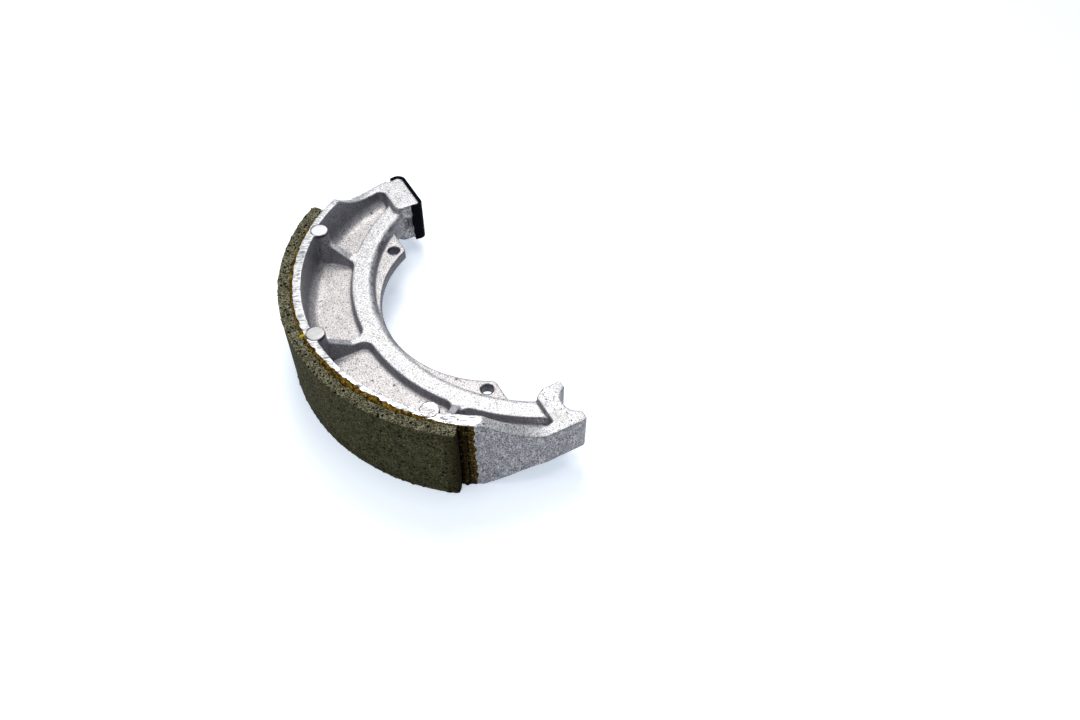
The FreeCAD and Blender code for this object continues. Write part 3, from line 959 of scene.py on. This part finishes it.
@dataclass(frozen=True)
class OxideSteel:
    """Hard steel strip: blue-black oxide with fine rubbing scratches."""

    oxide: Colour = (0.003, 0.003, 0.005, 1.0)
    worn: Colour = (0.012, 0.013, 0.020, 1.0)
    rust: Colour = (0.008, 0.005, 0.005, 1.0)

    def material(self, shared: SharedEffects) -> bpy.types.Material:
        """Build the finish.

        Args:
            shared: The shared shader groups.

        Returns:
            The material.
        """
        material, bench, shader = new_material("oxide_steel_dressed")
        grain = bench.group(shared.grain, Coarse_Size=2.0, Fine_Size=0.3, Fine_Share=0.4)
        strokes = bench.group(shared.scratches, Turn=0.2, Spacing=0.25, Length=2.5)
        dots = bench.group(shared.specks, Cell_Size=0.9, Speck_Size=0.16, Share=0.3)
        tone = bench.over(self.oxide, self.worn, strokes["Mask"], 0.4)
        tone = bench.over(tone, self.worn, bench.attribute("crest"), 0.4)
        tone = bench.over(tone, self.rust, bench.band(grain["Cloud"], 0.5, 1.0, 0.0, 0.4))
        tone = bench.over(tone, self.worn, dots["Mask"], 0.6)
        bench.feed(
            shader, Base_Color=tone, Metallic=0.2, Specular_IOR_Level=0.0,
            Roughness=bench.band(grain["Fine"], 0.0, 1.0, 0.32, 0.5),
            Normal=bench.bump(grain["Height"], 0.4, 0.08),
        )
        return material


# Sub-assemblies


@dataclass
class Casting:
    """The shoe's casting, in millimetres and degrees."""

    node: str = "shoe_casting"
    voxel: float = 0.28
    most_triangles: int = 188000
    width: float = WIDTH
    band_angles: tuple[float, float] = (30.5, 149.3)
    band_inner_radius: float = 54.5
    ring_centre_y: float = -16.0
    ring_inner_radius: float = 52.0
    ring_top: tuple[float, float] = (9.2, 18.8)
    marks: tuple[tuple[float, float, float, float], ...] = (
        (-54.6, 8.1, 20.25, 2.3),
        (53.9, 10.1, 21.25, 1.7),
    )
    mark_lip: tuple[float, float] = (0.05, 0.38)
    mark_depth: float = 0.035
    ruffles: tuple[tuple[float, float, int], ...] = ((0.035, 5.0, 1), (0.02, 2.0, 2), (0.012, 0.9, 3))
    web_level: tuple[float, float] = (2.4, 3.6)
    soften_rounds: int = 6
    edge_rounds: int = 8
    corner_rounds: int = 44

    def _machined(self, work: Work) -> Array:
        """Find where the casting was machined.

        Args:
            work: The skin.

        Returns:
            One value from 0 to 1 for each point.
        """
        low, high = self.band_angles
        flat = ramp(work.flatness, 0.7, 0.92)
        level = ramp(work.off_middle, self.width / 2 - 0.35, self.width / 2 - 0.12)
        along = ramp(work.angle, low - 0.6, low) * ramp(work.angle, high + 0.4, high)
        inner = self.band_inner_radius
        return flat * level * along * ramp(work.radius, inner - 0.5, inner)

    def _flank(self, work: Work) -> Array:
        """Find the outer sides of the two end blocks and their sides towards the hub.

        Args:
            work: The skin.

        Returns:
            One value from 0 to 1 for each point.
        """
        low, high = self.band_angles
        inner = self.band_inner_radius
        past = np.maximum(ramp(work.angle, low, low - 1.0), ramp(work.angle, high - 4.0, high - 3.0))
        outer = ramp(work.outward, 0.4, 0.6) * past * ramp(work.radius, inner - 1.5, inner)
        block = ramp(np.abs(work.points[:, 0]), 43.0, 43.6) * ramp(work.points[:, 1], 14.5, 13.0)
        hub_side = block * ramp(work.radius, inner, inner - 1.0)
        return np.maximum(outer, hub_side * ramp(work.flatness, 0.6, 0.3))

    def _trimmed(self, work: Work) -> Array:
        """Find where flash was trimmed off the inner ring and the tabs.

        Args:
            work: The skin.

        Returns:
            One value from 0 to 1 for each point.
        """
        x, y, z = work.points.T
        across = np.hypot(x, y - self.ring_centre_y)
        near = np.exp(-(((across - self.ring_inner_radius - 0.7) / 0.55) ** 2))
        low, high = self.ring_top
        level = np.maximum(ramp(z, high - 2.4, high - 1.0), ramp(z, low + 2.4, low + 1.0))
        patch = ramp(ripple(work.points, 4.0, 7) + 0.6 * ripple(work.points, 1.2, 8), -0.25, 0.5)
        ring = near * level * patch * ramp(np.abs(x), 44.0, 40.0)
        web = ramp(work.off_middle, 2.4, 1.9) * ramp(-work.outward, 0.3, 0.6)
        inside = ramp(across, self.ring_inner_radius + 0.2, self.ring_inner_radius - 0.4)
        return np.maximum(ring, 0.85 * web * inside)

    def _marked(self, work: Work) -> Array:
        """Press the ejector marks into the block faces and ruffle the cast skin.

        Args:
            work: The skin.

        Returns:
            The moved points.
        """
        points = work.points
        shift = np.zeros(len(points))
        for height, cell, seed in self.ruffles:
            shift += height * ripple(points, cell, seed)
        shift *= 1 - 0.8 * self._machined(work)
        worn = 0.6 + 0.4 * ripple(points, 1.8, 9)
        height, width = self.mark_lip
        for x, y, top, radius in self.marks:
            reach = np.hypot(points[:, 0] - x, points[:, 1] - y)
            lip = height * np.exp(-(((reach - radius) / width) ** 2))
            ring = (lip - self.mark_depth * ramp(reach, radius, radius - 0.6)) * worn
            for level in (top, self.width - top):
                near = ramp(np.abs(points[:, 2] - level), 0.6, 0.3)
                shift += near * ramp(work.flatness, 0.8, 0.95) * ring
        return points + work.normals * shift[:, None]

    def build(self, shared: SharedEffects) -> bpy.types.Object:
        """Build and dress the casting.

        Args:
            shared: The shared shader groups.

        Returns:
            The finished piece.
        """
        work = Work(close_skin(self.node, "casting_skin", self.voxel))
        crisp = ramp(work.off_middle, self.width / 2 - 1.2, self.width / 2 - 0.8)
        weight = 0.5 - 0.35 * np.maximum(self._machined(work), crisp)
        work.move(work.relaxed(weight, self.soften_rounds))
        spread = work.relaxed(0.5, self.edge_rounds)
        bend = work.bend(spread)
        readings = {
            "crest": ramp(-bend, 0.03, 0.14),
            # Painted shade in creases
            "hollow": ramp(bend, 0.03, 0.13),
            # Broad painted shade towards concave corners
            "patina": ramp(work.bend(work.relaxed(0.5, self.corner_rounds, spread)), 0.02, 0.45),
            "machined": self._machined(work),
            "trimmed": self._trimmed(work),
            # Flat faces light and walls dark: painted shade of a light from above
            "lift": 0.45 * ramp(work.flatness, 0.25, 0.7) + 0.55 * ramp(work.flatness, 0.7, 0.97),
            "flank": self._flank(work),
            # Pocket floors: painted shade in the recess
            "sunk": ramp(work.off_middle, *self.web_level[::-1]),
        }
        for name, values in readings.items():
            store(work.mesh, name, values)
        work.move(self._marked(work))
        work.keep_level(0.0, self.width)
        ratio = min(1.0, self.most_triangles / (2 * len(work.mesh.polygons)))
        settings = {"decimate_type": "COLLAPSE", "ratio": ratio, "use_collapse_triangulate": True}
        mesh = worked(work.mesh, "shoe_casting_dressed", "DECIMATE", settings)
        material = CastAluminium().material(shared)
        return finished(mesh, "shoe_casting_dressed", self.node, material)


class DrumForms:
    """Geometry Nodes trees for what follows the drum's round."""

    def __init__(self) -> None:
        """Build the trees."""
        self.wrap = self._wrap()
        self.bead = self._bead()

    def _end(
        self, bench: NodeBench, end: Node, geometry: Socket, shift: Socket, material: Socket
    ) -> Tree:
        """Move a form's points along their normals and dress it.

        Args:
            bench: The bench.
            end: The tree's output node.
            geometry: The form.
            shift: How far each point moves.
            material: The form's material.

        Returns:
            The tree.
        """
        outward = bench.put("GeometryNodeInputNormal")[0]
        offset = bench.vector("SCALE", Vector=outward, Scale=shift)
        moved = bench.put("GeometryNodeSetPosition", Geometry=geometry, Offset=offset)[0]
        real = bench.put("GeometryNodeRealizeInstances", Geometry=moved)[0]
        dressed = bench.put("GeometryNodeSetMaterial", Geometry=real, Material=material)[0]
        bench.feed(end, Geometry=dressed)
        return bench.tree

    def _named(self, bench: NodeBench, name: str) -> Socket:
        """Read a named attribute of the form."""
        setup = {"data_type": "FLOAT"}
        return bench.put("GeometryNodeInputNamedAttribute", setup, Name=name)["Attribute"]

    def _wrap(self) -> Tree:
        """Build the tree that wraps a unit slab round the drum and crumbles its edges.

        Returns:
            The tree.
        """
        sizes = {
            "Slab": "Geometry", "Inner Radius": 0.0614, "Thickness": 0.0036, "Width": 0.028,
            "Start Angle": 0.6, "End Angle": 2.5, "Chip Size": 1.0, "Chip Depth": 0.0,
            "Waviness": 0.0, "Material": "Material",
        }
        bench, given, end = new_group("wrap_round_drum", "Geometry", sizes, "Geometry")
        place = bench.put("GeometryNodeInputPosition")[0]
        along, through, across = bench.put("ShaderNodeSeparateXYZ", Vector=place)
        sweep = bench.less(given["End Angle"], given["Start Angle"])
        angle = bench.maths("MULTIPLY_ADD", along, sweep, given["Start Angle"])
        radius = bench.maths("MULTIPLY_ADD", through, given["Thickness"], given["Inner Radius"])
        x = bench.times(radius, bench.maths("COSINE", angle))
        y = bench.times(radius, bench.maths("SINE", angle))
        z = bench.times(across, given["Width"])
        wrapped = bench.put("ShaderNodeCombineXYZ", X=x, Y=y, Z=z)[0]
        form = bench.put("GeometryNodeSetPosition", Geometry=given["Slab"], Position=wrapped)[0]
        there = bench.put("GeometryNodeInputPosition")[0]
        lumps = bench.noise(there, given["Chip Size"], 3.0, 0.65)
        chips = bench.times(bench.band(lumps, 0.47, 0.72), self._named(bench, "edge"))
        sunk = bench.times(chips, bench.times(given["Chip Depth"], -1.0))
        swell = bench.less(bench.noise(there, 6.0, 2.0, 0.5), 0.5)
        shift = bench.maths("MULTIPLY_ADD", swell, given["Waviness"], sunk)
        return self._end(bench, end, form, shift, given["Material"])

    def _bead(self) -> Tree:
        """Build the tree that runs a lumpy bead along a path.

        Returns:
            The tree.
        """
        sizes = {
            "Path": "Geometry", "Girth": 0.0004, "Step": 0.00015, "Lump Size": 1.0,
            "Lump Height": 0.0002, "Sides": 12, "Material": "Material",
        }
        bench, given, end = new_group("lumpy_bead", "Geometry", sizes, "Geometry")
        curve = bench.put("GeometryNodeMeshToCurve", Mesh=given["Path"])[0]
        setup = {"mode": "LENGTH"}
        even = bench.put("GeometryNodeResampleCurve", setup, Curve=curve, Length=given["Step"])[0]
        place = bench.put("GeometryNodeInputPosition")[0]
        swell = bench.band(bench.noise(place, given["Lump Size"], 1.0, 0.5), 0.3, 0.7, 0.78, 1.22)
        girth = bench.times(self._named(bench, "girth"), given["Girth"], swell)
        ring = bench.put("GeometryNodeCurvePrimitiveCircle", Resolution=given["Sides"], Radius=1.0)[0]
        feeds = {"Curve": even, "Profile_Curve": ring, "Scale": girth, "Fill_Caps": True}
        form = bench.put("GeometryNodeCurveToMesh", **feeds)[0]
        fine_size = bench.times(given["Lump Size"], 0.45)
        lump = bench.less(bench.noise(place, fine_size, 3.0, 0.6), 0.5)
        shift = bench.times(lump, given["Lump Height"])
        return self._end(bench, end, form, shift, given["Material"])


def wrapping(
    radius: float, thickness: float, angles: tuple[float, float], waviness: float
) -> dict[str, float]:
    """Turn the sizes of a wrapped slab into inputs of the wrapping tree.

    Args:
        radius: Its inner radius in millimetres.
        thickness: Its thickness.
        angles: Where it starts and ends, in degrees.
        waviness: How far its surface swells.

    Returns:
        The inputs by name, in metres and radians.
    """
    return {
        "Inner_Radius": radius * MM,
        "Thickness": thickness * MM,
        "Width": WIDTH * MM,
        "Start_Angle": math.radians(angles[0]),
        "End_Angle": math.radians(angles[1]),
        "Waviness": waviness * MM,
    }


@dataclass
class Lining:
    """The friction lining, in millimetres and degrees."""

    node: str = "friction_lining"
    inner_radius: float = SEAT_RADIUS + 0.2
    thickness: float = 3.6
    width: float = WIDTH
    angles: tuple[float, float] = LINING_ANGLES
    end_radius: float = 1.3
    cam_foot_radius: float = 1.0
    chip_depth: float = 0.34
    chip_size: float = 1.1
    waviness: float = 0.12
    end_shade_reach: float = 4.5
    steps: tuple[int, int, int] = (350, 11, 78)

    def _rounding(self, from_end: Array, radius: float) -> Array:
        """Tell how far a rounded end falls away, by the distance from the end."""
        drop = np.clip(radius - from_end, 0, radius)
        return radius - np.sqrt(radius**2 - drop**2)

    def _slab(self) -> Mesh:
        """Make the lining as a flat slab of unit size with rounded end corners.

        Returns:
            The slab, with masks of its crumbling edges, its sawn sides and the painted shade at its
            anchor end.
        """
        unit, faces = slab(*self.steps, close_ends=0.45)
        length = math.radians(self.angles[1] - self.angles[0]) * (self.inner_radius + self.thickness)
        u, v, w = unit.T
        fall = self._rounding(np.minimum(u, 1 - u) * length, self.end_radius)
        rise = self._rounding(u * length, self.cam_foot_radius)
        v = (rise + v * (self.thickness - fall - rise)) / self.thickness
        size = np.array([length, self.thickness, self.width])
        work = Work(solid("lining_slab", np.stack([u, v, w], 1) * size, faces))
        x, y, z = (points := work.relaxed(0.5, 2)).T
        rim = np.minimum(z, self.width - z)
        ends = np.minimum(x, length - x)
        outer = ramp(np.hypot(rim, self.thickness - y), 1.3, 0.15)
        inner = 0.6 * ramp(np.hypot(rim, y), 0.9, 0.1)
        corner = 0.7 * ramp(np.hypot(ends, rim), 1.3, 0.1)
        store(work.mesh, "edge", np.maximum(np.maximum(outer, inner), corner))
        store(work.mesh, "sawn", ramp(rim, 0.25, 0.05))
        # Painted shade by the gap at the anchor end
        store(work.mesh, "stained", ramp(length - x, self.end_shade_reach, 0.0) * ramp(rim, 0.2, 1.5))
        work.move(points / size / MM)
        return work.mesh

    def build(self, shared: SharedEffects, forms: DrumForms) -> bpy.types.Object:
        """Build and dress the lining.

        Args:
            shared: The shared shader groups.
            forms: The trees for what follows the drum.

        Returns:
            The finished piece.
        """
        material = FrictionCompound().material(shared)
        mesh = grown(
            self._slab(), "friction_lining_dressed", forms.wrap,
            **wrapping(self.inner_radius, self.thickness, self.angles, self.waviness),
            Chip_Size=self.chip_size, Chip_Depth=self.chip_depth * MM, Material=material,
        )
        face_outwards(mesh)
        Work(mesh).keep_level(0.0, self.width)
        return finished(mesh, "friction_lining_dressed", self.node, material)


@dataclass(frozen=True)
class Film:
    """A film of resin: its angles, thickness, blackness, ragged end and face size."""

    angles: tuple[float, float]
    thickness: float
    char: float
    ragged: float
    cell: float


@dataclass
class ResinLine:
    """The resin between casting and lining and what was squeezed out, in millimetres and degrees."""

    node: str = "bond_line"
    seat_radius: float = SEAT_RADIUS
    bond_thickness: float = 0.2
    width: float = WIDTH
    lining_angles: tuple[float, float] = LINING_ANGLES
    girth: float = 0.42
    girth_along: tuple[tuple[float, float], ...] = (
        (36.5, 0.10), (41.0, 0.25), (46.0, 0.75), (60.0, 0.95), (75.0, 1.15), (92.0, 1.2),
        (97.0, 2.1), (112.0, 2.6), (128.0, 2.2), (134.0, 1.5), (139.0, 0.7), (143.0, 0.35),
    )
    squeeze_length: float = 4.4
    # The first bead, black and just past the lining's end, is a painted shadow that stands in for the
    # shade in the gap there
    end_beads: tuple[Triple, ...] = ((0.45, 1.4, 1.0), (1.5, 1.9, 0.8), (2.4, 0.9, 1.0))
    end_inset: float = 0.35
    drop_angles: tuple[float, float] = (88.7, 89.9)
    drop_girth: float = 2.4
    bead_step: float = 0.14
    lump_size: float = 2.0
    lump_height: float = 0.22
    sides: int = 12
    proud: float = 0.35
    bead_lift: float = 0.03
    film_inset: float = 0.02
    film_waviness: float = 0.10
    edge_steps: int = 900
    drop_steps: int = 16
    end_steps: int = 240

    def _path(
        self, angles: Array | float, off_seat: Array | float, level: Array | float, count: int
    ) -> Array:
        """Lay points round the drum.

        Args:
            angles: Their angles.
            off_seat: Their distances from the seat.
            level: Their heights.
            count: How many there are.

        Returns:
            The points.
        """
        turn, radius = np.radians(angles), self.seat_radius + off_seat
        parts = (radius * np.cos(turn), radius * np.sin(turn), level)
        return np.stack([np.full(count, part) for part in parts], 1)

    def _edge_bead(self, forms: DrumForms, side: Side) -> Mesh:
        """Run the bead that was squeezed out along one side.

        Args:
            forms: The trees for what follows the drum.
            side: The side of the shoe.

        Returns:
            The bead.
        """
        angles, shares = np.array(self.girth_along).T
        turn = np.linspace(angles[0], angles[-1], self.edge_steps)
        share = np.interp(turn, angles, shares)
        wander = line_ripple(turn, 1.4, 21, side.value)
        off_seat = 0.1 - 0.26 * share + 0.12 * wander * share
        level = self.width / 2 + side.value * (self.width / 2 - 0.04 - 0.17 * share)
        path = self._path(turn, off_seat, level, self.edge_steps)
        return self._bead(forms, path, share, f"bead_{side.name.lower()}", 0.0)

    def _bead(
        self, forms: DrumForms, points: Array, share: Array | float, name: str, char: float
    ) -> Mesh:
        """Run one bead along a path.

        Args:
            forms: The trees for what follows the drum.
            points: The path.
            share: Share of the full girth at each point.
            name: Name of the bead.
            char: How black the bead is, from 0 to 1, or -1 for fresh resin.

        Returns:
            The bead.
        """
        path = bpy.data.meshes.new(name + "_path")
        path.from_pydata((points * MM).tolist(), list(itertools.pairwise(range(len(points)))), [])
        store(path, "girth", share)
        mesh = grown(
            path, name, forms.bead,
            Girth=self.girth * MM, Step=self.bead_step * MM, Lump_Size=self.lump_size,
            Lump_Height=self.lump_height * MM, Sides=self.sides,
        )
        Work(mesh).keep_level(self.bead_lift, self.width + self.proud)
        store(mesh, "char", char)
        return mesh

    def _film(self, forms: DrumForms, name: str, film: Film) -> Mesh:
        """Lay a film of resin on the rim.

        Args:
            forms: The trees for what follows the drum.
            name: Name of the film.
            film: Its sizes.

        Returns:
            The film.
        """
        length = math.radians(film.angles[1] - film.angles[0]) * self.seat_radius
        unit, faces = slab(max(6, int(length / film.cell)), 2, int(self.width / film.cell))
        u, v, w = unit.T
        wander = line_ripple(w * self.width, 1.3, 31) + 0.6 * line_ripple(w * self.width, 0.5, 32)
        u = u * (1 + film.ragged * wander / length)
        blank = solid(name + "_slab", np.stack([u, v, 0.005 + 0.99 * w], 1) / MM, faces)
        sizes = wrapping(self.seat_radius, film.thickness, film.angles, self.film_waviness)
        mesh = grown(blank, name, forms.wrap, **sizes)
        store(mesh, "char", film.char)
        Work(mesh).keep_level(self.film_inset, self.width - self.film_inset)
        return mesh

    def _joined(self, parts: list[Mesh], name: str) -> Mesh:
        """Put closed meshes into one.

        Args:
            parts: The meshes.
            name: Name of the result.

        Returns:
            The new mesh.
        """
        bench = bmesh.new()
        for part in parts:
            bench.from_mesh(part)
        bmesh.ops.recalc_face_normals(bench, faces=bench.faces)
        made = bpy.data.meshes.new(name)
        bench.to_mesh(made)
        bench.free()
        return made

    def build(self, shared: SharedEffects, forms: DrumForms) -> bpy.types.Object:
        """Build and dress the resin.

        Args:
            shared: The shared shader groups.
            forms: The trees for what follows the drum.

        Returns:
            The finished piece.
        """
        material = CuredResin().material(shared)
        end = self.lining_angles[1]
        degree = math.degrees(1 / self.seat_radius)
        squeezed = (end, end + self.squeeze_length * degree)
        bond = Film(self.lining_angles, self.bond_thickness, char=0.4, ragged=0.0, cell=0.5)
        squeeze = Film(squeezed, thickness=0.16, char=0.35, ragged=0.4, cell=0.25)
        parts = [
            self._film(forms, "bond_film", bond),
            *(self._edge_bead(forms, side) for side in Side),
            self._film(forms, "end_film", squeeze),
        ]
        count = self.drop_steps
        drop = self._path(np.linspace(*self.drop_angles, count), 0.05, self.width - 0.4, count)
        round_off = self.drop_girth * np.sin(np.linspace(0.35, np.pi - 0.35, count))
        parts.append(self._bead(forms, drop, round_off, "fresh_drop", -1.0))
        height = np.linspace(self.end_inset, self.width - self.end_inset, self.end_steps)
        # The first of these beads is the painted shadow in the gap past the lining's end
        for offset, share, char in self.end_beads:
            path = self._path(end + offset * degree, 0.1, height, self.end_steps)
            parts.append(self._bead(forms, path, share, f"end_bead_{int(offset * 100)}", char))
        mesh = self._joined(parts, "resin_line_dressed")
        return finished(mesh, "resin_line_dressed", self.node, material)


@dataclass
class CamCap:
    """The steel cap on the end that the cam pushes, in millimetres."""

    node: str = "cam_end_cap"
    voxel: float = 0.13
    soften_rounds: int = 6
    edge_rounds: int = 12

    def build(self, shared: SharedEffects) -> bpy.types.Object:
        """Build and dress the cap.

        Args:
            shared: The shared shader groups.

        Returns:
            The finished piece.
        """
        work = Work(close_skin(self.node, "cam_cap_dressed", self.voxel))
        work.move(work.relaxed(0.5, self.soften_rounds))
        bend = work.bend(work.relaxed(0.5, self.edge_rounds))
        store(work.mesh, "crest", ramp(-bend, 0.01, 0.06))
        points, normals = work.points, work.normals
        x, y, z = points.T
        ragged = 0.28 * line_ripple(z, 1.3, 41) + 0.18 * line_ripple(z, 0.6, 42)
        points[:, 1] += ramp(y, 6.2, 7.6) * ramp(x, 50.0, 48.0) * ragged
        points += normals * (0.02 * ripple(points, 2.0, 43))[:, None]
        work.keep_level(0.0, WIDTH)
        material = OxideSteel().material(shared)
        return finished(work.mesh, "cam_cap_dressed", self.node, material)


# Studio


def aim(thing: bpy.types.Object, right: Array, back: Array, place: Triple) -> None:
    """Place and turn a camera or lamp.

    Args:
        thing: The camera or lamp.
        right: Where its right side points.
        back: Where its back points.
        place: Where it stands.
    """
    frame = Matrix((right, np.cross(back, right), back)).transposed().to_4x4()
    frame.translation = place
    thing.matrix_world = frame


@dataclass(frozen=True)
class Lamp:
    """One square soft lamp: its name, place, side, power in watts and colour."""

    name: str
    place: Triple
    size: float
    power: float
    colour: Triple


@dataclass
class Studio:
    """Floor, lamps and camera, in metres in the part's own frame."""

    camera_place: Triple = (-0.1906, 0.0934, 0.2334)
    looks_along: Triple = (0.5591, -0.3242, -0.7631)
    roll: float = 0.0138
    lens: float = 31.91
    floor_reach: float = 3.0
    floor_colour: Colour = (0.86, 0.87, 0.88, 1.0)
    floor_glow: float = 0.52
    glow_colour: Colour = (0.78, 0.87, 1.0, 1.0)
    sky_colour: Colour = (0.56, 0.74, 1.0, 1.0)
    sky_strength: float = 0.15
    lamps_face: Triple = (0, 0.03, 0.01)
    lamps: tuple[Lamp, ...] = (
        Lamp("key_lamp", (0.28, -0.12, 0.54), 0.24, 1.75, (1.0, 0.985, 0.96)),
        Lamp("top_lamp", (-0.02, 0.06, 0.62), 0.34, 1.6, (1.0, 0.985, 0.96)),
        Lamp("left_lamp", (-0.28, 0.40, 0.42), 0.36, 0.6, (0.97, 0.985, 1.0)),
    )

    def _camera(self) -> None:
        """Set the camera at the picture's own view."""
        ahead = np.array(self.looks_along)
        ahead /= np.linalg.norm(ahead)
        right = np.cross(ahead, (0, 0, 1))
        right /= np.linalg.norm(right)
        across = math.cos(self.roll) * right + math.sin(self.roll) * np.cross(right, ahead)
        data = bpy.data.cameras.new("camera")
        data.lens, data.sensor_width, data.sensor_fit = self.lens, 36.0, "HORIZONTAL"
        data.clip_start, data.clip_end = 0.01, 20.0
        camera = placed("camera", data)
        aim(camera, across, -ahead, self.camera_place)
        bpy.context.scene.camera = camera

    def _floor(self) -> None:
        """Lay the pale floor, which glows white only to the camera and in reflections."""
        mesh = bpy.data.meshes.new("floor")
        reach = self.floor_reach
        corners = [(-reach, -reach, 0), (reach, -reach, 0), (reach, reach, 0), (-reach, reach, 0)]
        mesh.from_pydata(corners, [], [(0, 1, 2, 3)])
        material, bench, shader = new_material("pale_floor")
        rays = bench.put("ShaderNodeLightPath")
        mirrored = bench.maths("MAXIMUM", rays["Is Glossy Ray"], rays["Is Transmission Ray"])
        seen = bench.maths("MAXIMUM", rays["Is Camera Ray"], mirrored)
        bench.feed(
            shader, Base_Color=self.floor_colour, Roughness=0.9, Specular_IOR_Level=0.1,
            Emission_Color=self.glow_colour, Emission_Strength=bench.times(seen, self.floor_glow),
        )
        mesh.materials.append(material)
        placed("floor", mesh)

    def _hang(self, lamp: Lamp) -> None:
        """Hang one lamp so that it faces the shoe.

        Args:
            lamp: The lamp.
        """
        data = bpy.data.lights.new(lamp.name, "AREA")
        data.shape, data.size, data.energy, data.color = "SQUARE", lamp.size, lamp.power, lamp.colour
        back = np.array(lamp.place, float) - np.array(self.lamps_face)
        back /= np.linalg.norm(back)
        right = np.cross((0, 0, 1), back)
        aim(placed(lamp.name, data), right / np.linalg.norm(right), back, lamp.place)

    def build(self) -> None:
        """Set up floor, lamps, world and camera."""
        self._floor()
        for lamp in self.lamps:
            self._hang(lamp)
        world = bpy.data.worlds.new("studio")
        world.use_nodes = True
        sky = world.node_tree.nodes["Background"].inputs
        sky[0].default_value, sky[1].default_value = self.sky_colour, self.sky_strength
        bpy.context.scene.world = world
        bpy.context.scene.view_settings.view_transform = "Standard"
        self._camera()


def main() -> None:
    """Build every piece in order."""
    logging.basicConfig(level=logging.INFO, format="%(message)s")
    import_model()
    shared, forms = SharedEffects(), DrumForms()
    pieces = [
        Casting().build(shared),
        Lining().build(shared, forms),
        ResinLine().build(shared, forms),
        CamCap().build(shared),
    ]
    LOG.info("pieces: %s", ", ".join(piece.name for piece in pieces))
    Studio().build()


if __name__ == "__main__":
    main()
